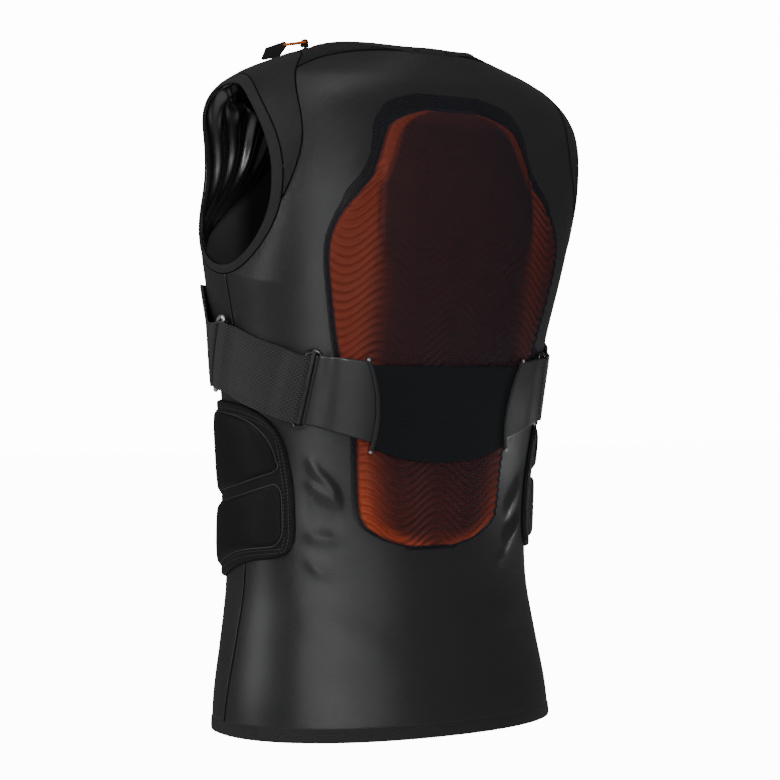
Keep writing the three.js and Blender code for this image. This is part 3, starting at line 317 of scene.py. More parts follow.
def signed_power(value, power):
    """A power of the value's size, with the value's sign."""
    return np.sign(value) * np.abs(value) ** power


def solve(rising, low, high, like):
    """Where a rising function of an array crosses zero, by halving the interval thirty times."""
    low, high = low + 0 * like, high + 0 * like
    for _ in range(30):
        middle = (low + high) / 2
        below = rising(middle) < 0
        low, high = np.where(below, middle, low), np.where(below, high, middle)
    return (low + high) / 2


def spot(phi, height):
    """A place on a seam: direction and height, stacked."""
    return np.stack(np.broadcast_arrays(np.asarray(phi, float), np.asarray(height, float)), -1)


def spot_by_depth(behind, height):
    """Where the torso at a height is a given distance behind the centre line."""
    behind, height = np.broadcast_arrays(behind, height)
    return spot(solve(lambda phi: behind - reach(phi, height) * np.cos(phi), 0, math.pi, height), height)


def spot_by_out(out, height, in_front):
    """Where the torso at a height is a given distance out to the left, in front or behind."""
    out, height = np.broadcast_arrays(np.asarray(out, float), np.asarray(height, float))
    aim = np.minimum(out, section_at(height)[0])
    facing = (lambda t: math.pi - t) if in_front else (lambda t: t)
    found = solve(lambda t: reach(facing(t), height) * np.sin(t) - aim, 0, math.pi / 2, height)
    return spot(facing(found), height)


def spot_in_plan(out, behind):
    """Where the top of the torso passes through a point of the plan."""
    phi, far = np.arctan2(out, behind), np.hypot(out, behind)
    return spot(phi, solve(lambda h: far - reach(phi, h), UNDER_RIDGE, HEIGHT, far))


def arm_spot(angle, extra):
    """The armhole, an oval in the side view."""
    behind = ARM_BEHIND + (ARM_HALF_DEPTH + extra) * np.cos(angle)
    return spot_by_depth(behind, ARM_HEIGHT + (ARM_HALF_TALL + extra) * np.sin(angle))


SHOULDER_START = -19 * RAD
SHOULDER_END = 199 * RAD
BACK_CORNER = 54 * RAD


def shoulder_spot(angle, extra):
    """The outer seam of the shoulder crescent, widest at the middle by a sine."""
    along = (angle - SHOULDER_START) / (SHOULDER_END - SHOULDER_START)
    return arm_spot(angle, BINDING + SHOULDER_WIDE * np.sin(math.pi * along) + extra)


def neck_spot(angle, extra):
    """The neck hole, a squarish oval seen from above."""
    across, behind = (signed_power(part, 2 / NECK_SQUARE) for part in (np.sin(angle), np.cos(angle)))
    return spot_in_plan((NECK_HALF_WIDTH + extra) * across, NECK_BEHIND + (NECK_HALF_DEPTH + extra) * behind)


def mix(start, end, share):
    """A number a share of the way from start to end."""
    return start + (end - start) * share


def blend_spots(start, end, share):
    """Spots a share of the way from start to end."""
    return start + (end - start) * np.asarray(share)[..., None]


def straight(start, end):
    """The straight curve between two spots."""
    return lambda t: blend_spots(start, end, t)


def chain(*stretches):
    """A curve that passes along several curves in turn, each for its own share of the whole."""
    def curve(t):
        t = np.asarray(t, float)
        found, start = None, 0.0
        for share, part in stretches:
            here = part(np.clip((t - start) / share, 0, 1))
            found = here if found is None else np.where((t > start + 1e-9)[..., None], here, found)
            start += share
        return found
    return curve


def patch(foot, top, near, far):
    """A surface patch between four seams: the sum of the two strips less the four corners."""
    def spots(p, q):
        a, b = p[..., None], q[..., None]
        across = foot(p) * (1 - b) + top(p) * b
        up = near(q) * (1 - a) + far(q) * a
        low = foot(0.0 * p) * (1 - a) + foot(0.0 * p + 1) * a
        high = top(0.0 * p) * (1 - a) + top(0.0 * p + 1) * a
        return across + up - low * (1 - b) - high * b
    return spots


def strip(near, far):
    """A surface of straight lines between two curves."""
    return lambda p, q: blend_spots(near(q), far(q), p)


PANEL_FOOT = HEM_TALL / 2 - TUCK


def side_seam(shift):
    """The side seam, leaning back evenly from the hem to the foot of the armhole."""
    return lambda t: spot_by_depth(ARM_BEHIND * t + shift, mix(PANEL_FOOT, ARM_FOOT + TUCK, t))


def ridge_turn(behind):
    """The turn round the armhole at which the crescent's outer edge is a distance behind."""
    return math.acos((behind - ARM_BEHIND) / (ARM_HALF_DEPTH + BINDING + SHOULDER_WIDE))


back_edge = chain(
    (0.58, side_seam(SEAM_GAP / 2)),
    (0.24, lambda t: arm_spot(mix(-math.pi / 2, SHOULDER_START, t), BINDING - TUCK)),
    (0.18, lambda t: shoulder_spot(mix(SHOULDER_START, BACK_CORNER, t), SEAM_GAP)))
one = np.ones(1)
back_corner = back_edge(one)[0]
back_corner_out = bare(back_corner[0], back_corner[1])[0]
neck_foot = neck_spot(0 * one, -TUCK)[0, 1]


def yoke_seam(shift):
    """The top seam of the back panel, rising from the shoulder corner to the neck by a power curve."""
    return lambda t: spot_by_out(
        back_corner_out * t, mix(neck_foot, back_corner[1], np.asarray(t, float) ** YOKE_FALL) + shift, False)


half_back = patch(
    straight(np.array([0, PANEL_FOOT]), back_edge(0 * one)[0]),
    yoke_seam(0), straight(np.array([0, PANEL_FOOT]), np.array([0, neck_foot])), back_edge)

# Folds: start and end as shares of HALF_WIDTH round the girth and of HEIGHT, then how far each stands
# out and how broad it is, in millimetres.
FOLDS = [
    (0.735, 0.412, 0.4, 0.308, 4, 5),
    (0.71, 0.367, 0.375, 0.302, 3.6, 5),
    (0.68, 0.34, 0.44, 0.27, -2.5, 12),
    (0.72, 0.282, 0.2, 0.263, 3, 6),
    (0.72, 0.255, 0.54, 0.22, 2.2, 6),
    (-0.74, 0.385, -0.5, 0.3, 4, 8),
    (-0.66, 0.3, -0.48, 0.26, 3.4, 7),
    (-0.7, 0.33, -0.45, 0.235, 2.4, 6),
    (-0.1, 0.13, -0.6, 0.16, 1.8, 15),
    (-0.05, 0.075, -0.55, 0.1, 1.6, 15),
    (0.75, 0.17, 0.3, 0.12, 1.2, 16),
]
FOLD_FADE = 14 * MM
FOLD_CLEAR = 6 * MM
PAD_SIDE = 90 * MM
FLANK_LOW = 0.2136 * HEIGHT
FLANK_BACK = 132 * MM
PAD_LOW = 0.2606 * HEIGHT
BELT_LOW = 0.409 * HEIGHT


def fold_lift(girth, height):
    """How far the folds lift the cloth: each is a bell across its line, faded at the ends of the
    line, and all die away beside the pad, the flank pads and the belt."""
    lift = 0.0
    for from_out, from_up, to_out, to_up, out, broad in FOLDS:
        start = np.array([from_out * HALF_WIDTH, from_up * HEIGHT])
        line = np.array([to_out * HALF_WIDTH, to_up * HEIGHT]) - start
        x, y = girth - start[0], height - start[1]
        along = (x * line[0] + y * line[1]) / (line @ line)
        aside = (x * line[1] - y * line[0]) / math.hypot(*line)
        ends = np.exp(-((along - 0.5) / 0.5) ** 4)
        lift = lift + out * MM * ends * np.exp(-(aside / (broad * MM)) ** 2)
    beside_pad = np.maximum(np.abs(girth) - PAD_SIDE, PAD_LOW - FOLD_CLEAR - height)
    beside_flank = np.maximum(FLANK_BACK - np.abs(girth), FLANK_LOW - height)
    clear = np.minimum(np.minimum(beside_pad, beside_flank), BELT_LOW - height)
    return lift * smooth_step(clear, 0, FOLD_FADE)


def run_along(line):
    """Distance run along a line of points."""
    return np.concatenate([[0], np.cumsum(np.linalg.norm(np.diff(line, axis=0), axis=-1))])


def add_mesh(name, verts, faces, smooth=True):
    """An object of vertices and faces, each face with the same number of corners."""
    mesh = bpy.data.meshes.new(name)
    mesh.vertices.add(len(verts))
    mesh.vertices.foreach_set("co", verts.ravel())
    mesh.loops.add(faces.size)
    mesh.loops.foreach_set("vertex_index", faces.ravel())
    mesh.polygons.add(len(faces))
    mesh.polygons.foreach_set("loop_start", np.arange(len(faces)) * faces.shape[1])
    mesh.update(calc_edges=True)
    mesh.polygons.foreach_set("use_smooth", np.full(len(faces), smooth))
    made = bpy.data.objects.new(name, mesh)
    bpy.context.scene.collection.objects.link(made)
    return made


def add_surface(name, points, close_across=False, close_along=False, solid=False):
    """A mesh of quads through an array of points, rows by columns, with a UV map in metres of cloth:
    the length along the middle row and up the middle column. Its faces are turned outwards."""
    rows, columns = points.shape[:2]
    points = points - [0, 0, SHOULDER_REST]
    i = np.arange(rows if close_along else rows - 1)[:, None]
    j = np.arange(columns if close_across else columns - 1)[None, :]
    up, along = (i + 1) % rows, (j + 1) % columns
    corners = np.stack(np.broadcast_arrays(
        i * columns + j, i * columns + along, up * columns + along, up * columns + j), -1)
    grid_rows = np.stack(np.broadcast_arrays(i, i, i + 1, i + 1), -1) + 0 * corners
    grid_columns = np.stack(np.broadcast_arrays(j, j + 1, j + 1, j), -1) + 0 * corners
    flat = points.reshape(-1, 3)
    a, b, c = flat[corners[..., 0]], flat[corners[..., 1]], flat[corners[..., 2]]
    normals = np.cross(b - a, c - a)
    seen_from = a if solid else a * [1, 1, 0]
    if (seen_from * normals).sum() < 0:
        corners, grid_rows, grid_columns = (x[..., ::-1] for x in (corners, grid_rows, grid_columns))
    u, v = (np.append(run, 2 * run[-1] - run[-2])[at.ravel()] for run, at in (
        (run_along(points[rows // 2]), grid_columns), (run_along(points[:, columns // 2]), grid_rows)))
    made = add_mesh(name, flat, corners.reshape(-1, 4))
    made.data.uv_layers.new(name="cloth").data.foreach_set("uv", np.stack([u, v], -1).ravel())
    return made


def give_wall(piece, thick, offset=-1.0):
    """A wall of even thickness, by Solidify, inwards from the surface unless told otherwise."""
    wall = piece.modifiers.new("wall", "SOLIDIFY")
    wall.thickness = thick
    wall.offset = offset
    return piece


def dress(piece, material, slot, *nodes):
    """The piece's finish, the body that it rides on and the CAD nodes that it stands for. The slot is not
    used.
    """
    piece.data.materials.append(material)
    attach(piece, "root")
    if nodes:
        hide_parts(*nodes)
    return piece


def new_group(name, inputs, outputs):
    """A shader node group with number or vector sockets, and its ends."""
    group = bpy.data.node_groups.new(name, "ShaderNodeTree")
    kinds = {"number": "NodeSocketFloat", "vector": "NodeSocketVector"}
    for way, sockets in (("INPUT", inputs), ("OUTPUT", outputs)):
        for socket, kind in sockets.items():
            group.interface.new_socket(socket, in_out=way, socket_type=kinds[kind])
    return group, group.nodes.new("NodeGroupInput"), group.nodes.new("NodeGroupOutput")


# Knit: rows of small loops, staggered, as height and as tone. The pitch is across the cloth.
knit, knit_in, knit_out = new_group(
    "knit_loops", {"Across": "number", "Along": "number", "Pitch": "number"},
    {"Height": "number", "Tone": "number"})


def knit_wave(way):
    """A sine of the length one way across the cloth, one turn for each pitch."""
    turns = math_node(knit, "DIVIDE", knit_in.outputs[way], knit_in.outputs["Pitch"])
    return math_node(knit, "SINE", math_node(knit, "MULTIPLY", turns, 2 * math.pi))


loops = math_node(knit, "MULTIPLY", knit_wave("Across"), knit_wave("Along"))
fill(knit, knit_out, Height=loops, Tone=math_node(knit, "ADD", math_node(knit, "MULTIPLY", loops, 0.5), 0.5))

# Wear: slow cloudy change of tone over a piece, from dust, stretch and handling.
wear, wear_in, wear_out = new_group(
    "cloth_clouds", {"Place": "vector", "Scale": "number"}, {"Tone": "number"})
cloud = add_node(wear, "TexNoise", Vector=wear_in.outputs["Place"], Scale=wear_in.outputs["Scale"], Detail=4)
fill(wear, wear_out, Tone=cloud.outputs["Fac"])


def clouds(tree, scale):
    """The wear group's tone over a piece at a scale."""
    node = tree.nodes.new("ShaderNodeGroup")
    node.node_tree = wear
    fill(tree, node, Place=add_node(tree, "TexCoord").outputs["Object"], Scale=scale)
    return node.outputs["Tone"]


def cloth_map(tree):
    """Where on its cloth a place is, in metres."""
    node = tree.nodes.new("ShaderNodeUVMap")
    node.uv_map = "cloth"
    return node.outputs[0]


def blend_colours(tree, share, low, high):
    """The colour between two, each a link or three numbers."""
    node = tree.nodes.new("ShaderNodeMix")
    node.data_type = "RGBA"
    return fill(tree, node, Factor=share, A=low, B=high).outputs["Result"]


CLOUD_SCALE = 9
CLOUD_SHARE = 0.25


def cloth_finish(name, dark, light, pitch, depth, roughness, sheen, gloss=0.3):
    """A knitted cloth: the loops set tone and bump, clouds vary the tone, and a little sheen lifts
    the grazing edges. Dark and light are the colours of the hollows and of the yarn."""
    material, tree, shader = new_finish(name)
    split = add_node(tree, "SeparateXYZ", Vector=cloth_map(tree))
    weave = tree.nodes.new("ShaderNodeGroup")
    weave.node_tree = knit
    fill(tree, weave, Across=split.outputs["X"], Along=split.outputs["Y"], Pitch=pitch)
    tone = math_node(tree, "ADD", math_node(tree, "MULTIPLY", weave.outputs["Tone"], 1 - CLOUD_SHARE),
                     math_node(tree, "MULTIPLY", clouds(tree, CLOUD_SCALE), CLOUD_SHARE))
    bump = add_node(tree, "Bump", Distance=depth, Height=weave.outputs["Height"])
    fill(tree, shader, Base_Color=blend_colours(tree, tone, dark, light), Normal=bump.outputs[0],
         Roughness=roughness, Sheen_Weight=sheen, Sheen_Roughness=0.5, Specular_IOR_Level=gloss)
    return material


mesh_cloth = cloth_finish(
    "mesh_cloth", (0.008, 0.008, 0.009), (0.036, 0.037, 0.039), 2.5 * MM, 0.1 * MM, 0.33, 0.0, 0.6)


def grid(across, along):
    """Two arrays of shares from 0 to 1, columns by columns and rows by rows."""
    return np.meshgrid(np.linspace(0, 1, across + 1), np.linspace(0, 1, along + 1))


half_p, half_q = grid(80, 240)
left_half = half_back(half_p, half_q)
right_half = left_half[:, :0:-1] * [-1, 1]
back_spots = np.concatenate([right_half, left_half], 1)


def on_skin(spots, off, side=1):
    """Points a distance off the torso at spots, mirrored where side is -1."""
    return skin(side * spots[..., 0], spots[..., 1], off)


def cloth_panel(name, spots, side=1, lift=0.0):
    """A panel of cloth through spots, FABRIC thick and lying on the torso, lifted by its folds."""
    return give_wall(add_surface(name, on_skin(spots, FABRIC + lift, side)), FABRIC)


back_lift = fold_lift(girth_at(back_spots[..., 0], back_spots[..., 1]), back_spots[..., 1])
back_panel = cloth_panel("stretch_back", back_spots, lift=back_lift)
dress(back_panel, mesh_cloth, "mesh_cloth", "back_panel")

# Front panel and front side panels
# The same stretch mesh in front, cut in three by the two zips, which run from hem to shoulder.
ZIP_OUT = 0.088
ZIP_WIDE = 8 * MM
NECK_SHARE = 0.95
CORNER_SHARE = 0.96


def zip_top(out):
    """The height at which the torso is no wider than out."""
    return solve(lambda h: out - section_at(h)[0], 0.9 * HEIGHT, HEIGHT, 0 * one)[0]


def zip_line(aside):
    """A line up the front a distance out from the middle, from the hem to the shoulder ridge."""
    out = ZIP_OUT + aside
    top = zip_top(out)
    return lambda t: spot_by_out(out + 0 * t, mix(PANEL_FOOT, top, t), True)


zip_inner, zip_outer = zip_line(-ZIP_WIDE / 2 - SEAM_GAP), zip_line(ZIP_WIDE / 2 + SEAM_GAP)
front_p, front_q = grid(60, 200)
across = front_p[0]
neck_row = neck_spot(math.pi - math.pi / 2 * np.minimum(across / NECK_SHARE, 1), -TUCK)
to_zip = blend_spots(neck_row, zip_inner(one)[0], (across - CORNER_SHARE) / (1 - CORNER_SHARE))
neck_row = np.where(across[:, None] > CORNER_SHARE, to_zip, neck_row)
neck_out = bare(neck_row[:, 0], neck_row[:, 1])[:, 0]
left_front = spot_by_out(neck_out[None, :], mix(PANEL_FOOT, neck_row[None, :, 1], front_q), True)
right_front = left_front[:, :0:-1] * [-1, 1] + [2 * math.pi, 0]
front_spots = np.concatenate([right_front, left_front], 1)
front_panel = cloth_panel("stretch_front", front_spots)
dress(front_panel, mesh_cloth, "mesh_cloth", "front_panel")

front_edge = chain(
    (0.5, side_seam(-SEAM_GAP / 2)),
    (0.2, lambda t: arm_spot(mix(1.5 * math.pi, SHOULDER_END, t), BINDING - TUCK)),
    (0.3, lambda t: shoulder_spot(mix(SHOULDER_END, ridge_turn(-SEAM_GAP), t), SEAM_GAP)))
front_side = patch(
    straight(zip_outer(0 * one)[0], front_edge(0 * one)[0]),
    straight(zip_outer(one)[0], front_edge(one)[0]), zip_outer, front_edge)
SIDES = (("left", 1), ("right", -1))
side_p, side_q = grid(50, 200)
side_spots = front_side(side_p, side_q)
for word, side in SIDES:
    panel = cloth_panel(f"stretch_side_{word}", side_spots, side)
    dress(panel, mesh_cloth, "mesh_cloth", f"front_side_panel_{word}")

# Zips
# Two coil zips run up the front: a narrow black tape with a row of moulded coil turns along its
# middle. The sliders at the shoulder ridge are the CAD ones, plated dark.
ZIP_THICK = 2.2 * MM
TOOTH_PITCH = 1.6 * MM
TOOTH = np.array([0.55, 1.6, 0.5]) * MM
SMUDGE_SCALE = 60
SMUDGE = 0.2


def plain_finish(name, colour, roughness, metallic=0.0, grain=0.0, grain_scale=900, coat=0.0):
    """A smooth finish with a fine grain of bumps: rubber, coating or plated metal."""
    material, tree, shader = new_finish(name)
    smudges = math_node(tree, "MULTIPLY", clouds(tree, SMUDGE_SCALE), SMUDGE)
    bump = add_node(tree, "Bump", Distance=grain, Height=clouds(tree, grain_scale))
    fill(tree, shader, Base_Color=colour, Metallic=metallic, Coat_Weight=coat, Normal=bump.outputs[0],
         Roughness=math_node(tree, "ADD", smudges, roughness - SMUDGE / 2))
    return material


black_rubber = plain_finish("black_rubber", (0.012, 0.012, 0.013), 0.5, grain=0.05 * MM)
dark_metal = plain_finish("dark_metal", (0.09, 0.092, 0.097), 0.3, metallic=1, grain=0.01 * MM)

# The eight corners and six faces of a stamped block, and a lens of eight faces.
BLOCK = np.array([(x, y, z) for x in (-1, 1) for y in (-1, 1) for z in (-1, 1)], float)
BLOCK_FACES = [(0, 1, 3, 2), (4, 6, 7, 5), (0, 4, 5, 1), (2, 3, 7, 6), (0, 2, 6, 4), (1, 5, 7, 3)]
LENS = np.array([(-1, 0, 0), (1, 0, 0), (0, -1, 0), (0, 1, 0), (0, 0, 1), (0, 0, -1)], float)
LENS_FACES = [(0, 2, 4), (2, 1, 4), (1, 3, 4), (3, 0, 4), (2, 0, 5), (1, 2, 5), (3, 1, 5), (0, 3, 5)]


def paced(points, outs, pitch):
    """Places evenly spaced along a path, with the path's direction and the way out there."""
    run = run_along(points)
    count = max(int(run[-1] / pitch), 1)
    at = (np.arange(count) + 0.5) * run[-1] / count
    def read(values):
        return np.stack([np.interp(at, run, values[:, k]) for k in range(3)], -1)
    return read(points), unit(read(np.gradient(points, axis=0))), unit(read(outs))


def stamp(name, places, alongs, outs, corners, faces, smooth=True):
    """One mesh of many copies of a small block, each with its corners' x along the path, y across it
    and z outwards."""
    asides = unit(np.cross(outs, alongs))
    frames = np.stack([alongs, asides, np.cross(alongs, asides)], 1)
    verts = (places[:, None, :] + np.einsum("kc,nci->nki", corners, frames)) - [0, 0, SHOULDER_REST]
    index = np.array(faces)[None] + (np.arange(len(places)) * len(corners))[:, None, None]
    return add_mesh(name, verts.reshape(-1, 3), index.reshape(-1, len(faces[0])), smooth)


def soften(node, width, segments, material):
    """A CAD piece that is kept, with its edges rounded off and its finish."""
    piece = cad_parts[node]
    edge = piece.modifiers.new("edge", "BEVEL")
    edge.width, edge.segments = width, segments
    piece.data.materials.clear()
    piece.data.materials.append(material)


zip_p, zip_q = grid(6, 300)
zip_spots = strip(zip_line(-ZIP_WIDE / 2), zip_line(ZIP_WIDE / 2))(zip_p, zip_q)
for word, side in SIDES:
    tape = cloth_panel(f"zip_tape_{word}", zip_spots, side)
    dress(tape, black_rubber, "black_rubber", f"zip_{word}")
    low = on_skin(zip_spots[:, 3], ZIP_THICK, side)
    out = on_skin(zip_spots[:, 3], ZIP_THICK + MM, side) - low
    coil = stamp(f"zip_coil_{word}", *paced(low, out, TOOTH_PITCH), BLOCK * TOOTH, BLOCK_FACES, False)
    dress(coil, black_rubber, "black_rubber")
    soften(f"zip_slider_{word}", 0.3 * MM, 2, dark_metal)

# Yokes and shoulder panels
# A strip of spacer mesh beside the neck and a crescent of smooth cloth over each shoulder, both cut
# flat and sewn in.
YOKE_START = 14 * MM
SHOULDER_TIP = 0.6 * RAD
YOKE_CLEAR = 1.5 * SEAM_GAP
spacer_mesh = cloth_finish(
    "spacer_mesh", (0.006, 0.006, 0.007), (0.038, 0.039, 0.043), 3.2 * MM, 0.6 * MM, 0.5, 0.0)
smooth_cloth = cloth_finish(
    "smooth_cloth", (0.012, 0.012, 0.013), (0.018, 0.018, 0.020), 1.0 * MM, 0.06 * MM, 0.52, 0.03, 0.4)
yoke_start = YOKE_START / back_corner_out
neck_start = math.asin((YOKE_START / NECK_HALF_WIDTH) ** (NECK_SQUARE / 2))


def yoke_inner(t):
    """The yoke's edge along the neck, from beside the spine to the side of the neck."""
    return neck_spot(mix(neck_start, math.pi / 2, t), -TUCK)


yoke_outer = chain(
    (0.7, lambda t: yoke_seam(YOKE_CLEAR)(mix(yoke_start, 1, t))),
    (0.3, lambda t: shoulder_spot(mix(BACK_CORNER, ridge_turn(SEAM_GAP), t), SEAM_GAP)))


def crescent(t):
    """The turn round the armhole, from near one tip of the crescent to the other."""
    return mix(SHOULDER_START + SHOULDER_TIP, SHOULDER_END - SHOULDER_TIP, t)


shoulder_map = strip(
    lambda t: arm_spot(crescent(t), BINDING - TUCK), lambda t: shoulder_spot(crescent(t), -SEAM_GAP))
strip_p, strip_q = grid(24, 160)
yoke_spots, shoulder_spots = strip(yoke_inner, yoke_outer)(strip_p, strip_q), shoulder_map(strip_p, strip_q)
for word, side in SIDES:
    yoke = cloth_panel(f"spacer_yoke_{word}", yoke_spots, side)
    dress(yoke, spacer_mesh, "smooth_cloth", f"yoke_{word}")
    crest = cloth_panel(f"shoulder_crescent_{word}", shoulder_spots, side)
    dress(crest, smooth_cloth, "smooth_cloth", f"shoulder_panel_{word}")

# Chest lining
# A sheet of slippery black cloth inside the chest, sewn at its edges and creased on the slant.
LINING_LOW = 0.6515 * HEIGHT
LINING_HIGH = 0.8864 * HEIGHT
LINING_WING = 36 * MM
LINING_DEEP = 4 * MM
LINING_THICK = 0.6 * MM
LINING_IN = 1.2 * MM
LINING_FOLDS = 4.5
FOLD_SHARE = 0.18
FOLD_END = (0.95, 1.15)
LINING_CORNER = (0.5, 0.9)
LINING_EASE = 12 * MM
LINING_TILT = 0.12

# How far in from the armhole's front edge the glossy folds reach: height as a share of HEIGHT, metres.
FOLD_REACH = np.array([(0.7, 0.008), (0.86, 0.085), (0.93, 0.12)])


def paint(piece, name, values):
    """A number at each vertex, in the order of the piece's own vertices."""
    piece.data.attributes.new(name, "FLOAT", "POINT").data.foreach_set("value", values)


def painted(tree, name):
    """What was painted on a piece under a name."""
    node = tree.nodes.new("ShaderNodeAttribute")
    node.attribute_name = name
    return node.outputs["Fac"]


edge_turn = np.linspace(1.5 * math.pi, 0.5 * math.pi, 80)
front_edge_line = arm_spot(edge_turn, -0.5 * MM)
lining_p, lining_q = grid(280, 80)
aside = np.abs(2 * lining_p - 1)
lining_up = mix(LINING_LOW, LINING_HIGH + LINING_WING * smooth_step(aside, *LINING_CORNER), lining_q)
lining_start = np.interp(lining_up, front_edge_line[:, 1], front_edge_line[:, 0])
lining_phi = mix(lining_start, 2 * math.pi - lining_start, lining_p)
inwards = (math.pi - lining_start) * (1 - aside) * FRONT_DEPTH * 1.1
fold_wide = read_pairs(FOLD_REACH, lining_up / HEIGHT)
fold_at = inwards / fold_wide
crease = np.sin(2 * math.pi * (LINING_FOLDS * fold_at + LINING_TILT * np.sin(9 * lining_q)))
fold_high = FOLD_SHARE * fold_wide / LINING_FOLDS * (1 - smooth_step(fold_at, *FOLD_END))
sunk = (LINING_DEEP + fold_high * (1 - crease)) * smooth_step(inwards, 0, LINING_EASE)
lining = add_surface("chest_lining_cloth", skin(lining_phi, lining_up, -LINING_IN - sunk))
# 1 past the glossy folds, where the lining is matte and its colour painted lighter as painted light.
paint(lining, "matte_and_painted_light", smooth_step(fold_at, *FOLD_END).ravel())
give_wall(lining, LINING_THICK)
lining_finish = plain_finish("lining", (0.008, 0.008, 0.009), 0.24, grain=0.01 * MM, coat=0.8)
tree = lining_finish.node_tree
# Past the glossy folds the lining is matte, and its colour is painted lighter there as painted light in the
# shaded chest.
matte_and_painted_light = painted(tree, "matte_and_painted_light")
fill(tree, tree.nodes["Principled BSDF"], Specular_IOR_Level=1, Coat_Roughness=0.3,
     Roughness=math_node(tree, "ADD", math_node(tree, "MULTIPLY", matte_and_painted_light, 0.5), 0.24),
     Coat_Weight=math_node(tree, "ADD", math_node(tree, "MULTIPLY", matte_and_painted_light, -0.8), 0.8),
     Base_Color=blend_colours(tree, matte_and_painted_light, (0.008, 0.008, 0.009), (0.06, 0.06, 0.06)))
dress(lining, lining_finish, "lining", "chest_lining")

# Hem band, neck binding and armhole bindings
# Edges bound in a folded band of smooth elastic cloth, slightly rolled, closed on itself.
HEM_THICK = 3 * MM
BINDING_THICK = 3 * MM
NECK_BAND = 5 * MM


def rod(name, centres, asides, outs, half_wide, half_thick, square=1.0, closed=True, sides=16):
    """A band or wire along a path: round it the point is centre + aside * w * cos(a) + out * t * sin(a),
    each of cos and sin to the power square, so that less than one is boxier. Open ends are rounded off
    over half a width and closed."""
    turn = np.linspace(0, 2 * math.pi, sides, endpoint=False)
    across, up = (signed_power(part, square)[:, None, None] for part in (np.cos(turn), np.sin(turn)))
    wide, thick = np.broadcast_to(half_wide, len(centres)), np.broadcast_to(half_thick, len(centres))
    if not closed:
        run = run_along(centres)
        near = np.clip(np.minimum(run, run[-1] - run) / wide.max(), 0, 1)
        rounded = np.sqrt(1 - (1 - near) ** 2)
        wide, thick = wide * rounded, thick * np.sqrt(rounded)
    points = centres + asides * across * wide[:, None] + outs * up * thick[:, None]
    made = add_surface(name, points, close_across=closed, close_along=True, solid=True)
    return made if closed else weld(made)


def weld(piece):
    """Joins vertices that lie together, as at the ends of a rod and the rim of a pad."""
    work = bmesh.new()
    work.from_mesh(piece.data)
    bmesh.ops.remove_doubles(work, verts=work.verts, dist=0.01 * MM)
    work.to_mesh(piece.data)
    work.free()
    return piece


def edge_band(name, seam, side, half_thick, columns):
    """A band wound round an edge: seam gives the spots across the band for v from 0 to 1."""
    t = np.linspace(0, 1, columns, endpoint=False)
    low, high = seam(t, 0), seam(t, 1)
    foot, top = (on_skin(spots, FABRIC / 2, side) for spots in (low, high))
    centres = (foot + top) / 2
    outs = unit(on_skin((low + high) / 2, FABRIC, side) - on_skin((low + high) / 2, 0, side))
    wide = np.linalg.norm(top - foot, axis=-1) / 2
    return rod(name, centres, unit(top - foot), outs, wide, half_thick, square=0.6)


edging = cloth_finish("edging", (0.012, 0.012, 0.013), (0.03, 0.03, 0.032), 0.9 * MM, 0.08 * MM, 0.55, 0.05)
hem = edge_band(
    "hem_edging", lambda t, v: spot(2 * math.pi * t, HEM_TALL * (v - 0.5)), 1, HEM_THICK / 2, 600)
dress(hem, edging, "edging", "hem_band")
neck = edge_band(
    "neck_edging", lambda t, v: neck_spot(2 * math.pi * t, -NECK_BAND * v), 1, BINDING_THICK / 2, 400)
dress(neck, edging, "edging", "neck_binding")
arm_edges = []
for word, side in SIDES:
    arm_edges.append(edge_band(
        f"armhole_edging_{word}", lambda t, v: arm_spot(2 * math.pi * t, BINDING * v), side,
        BINDING_THICK / 2, 400))
    dress(arm_edges[-1], edging, "edging", f"armhole_binding_{word}")

# Seams
# Narrow flatlock tapes over the joins of the panels: the sides, the shoulder crescents, the yokes and
# the armhole edgings.
SEAM_WIDE = 0.7 * MM
SEAM_THICK = 0.35 * MM
seam_thread = plain_finish("seam_thread", (0.002, 0.002, 0.002), 0.9)
seam_thread.node_tree.nodes["Principled BSDF"].inputs["Specular IOR Level"].default_value = 0.1


def laid_rod(name, place, off, half_wide, half_thick, closed=True, sides=8):
    """A rod along the path that place gives at a distance off the torso."""
    line = place(off)
    out = unit(place(off + MM) - line)
    step = np.roll(line, -1, 0) - np.roll(line, 1, 0) if closed else np.gradient(line, axis=0)
    aside = unit(np.cross(unit(step), out))
    return rod(name, line, aside, out, half_wide, half_thick, closed=closed, sides=sides)


def seam_tape(name, spots, side):
    """A tape along a seam, lying on the cloth."""
    tape = laid_rod(name, lambda off: on_skin(spots, off, side), FABRIC, SEAM_WIDE, SEAM_THICK, closed=False)
    return dress(tape, seam_thread, "edging")


seam_t = np.linspace(0, 1, 300)
seam_runs = (
    ("side", side_seam(0)(seam_t)), ("shoulder", shoulder_map(1 + 0 * seam_t, seam_t)),
    ("yoke", yoke_seam(0)(mix(yoke_start, 1, seam_t))),
    ("armhole", arm_spot(2 * math.pi * seam_t, BINDING)))
tapes = [seam_tape(f"{place}_seam_{word}", run, side) for word, side in SIDES for place, run in seam_runs]

# Back pad
# A moulded foam pad in burnt orange, ridged in chevrons, with a smoother raised middle in its upper
# half and rows of air holes, held in the pocket behind the sheer cover.
PAD_TALL = HEIGHT - 76 * MM - PAD_LOW
PAD_HIGH = PAD_LOW + PAD_TALL
PAD_HALF_WIDTH = 130 * MM
PAD_EDGE = 5 * MM
PAD_CROWN = 12 * MM
PAD_ROUND = 4 * MM
PAD_SHY = 2.5 * MM
UNDER_PAD = FABRIC + LAYER_GAP
RIDGE_PITCH = 8.2 * MM
RIDGE_DEEP = 1.2 * MM
CHEVRON_RISE = 11 * MM
CHEVRON_WIDE = 75 * MM
PLATEAU_HALF = 82 * MM
PLATEAU_LOW = 470 * MM
PLATEAU_RISE = 1.3 * MM
PLATEAU_EDGE = (-3 * MM, 2 * MM)
PLATEAU_START = (-22 * MM, 14 * MM)
CALM = 0.85
PORES = 0.15 * MM

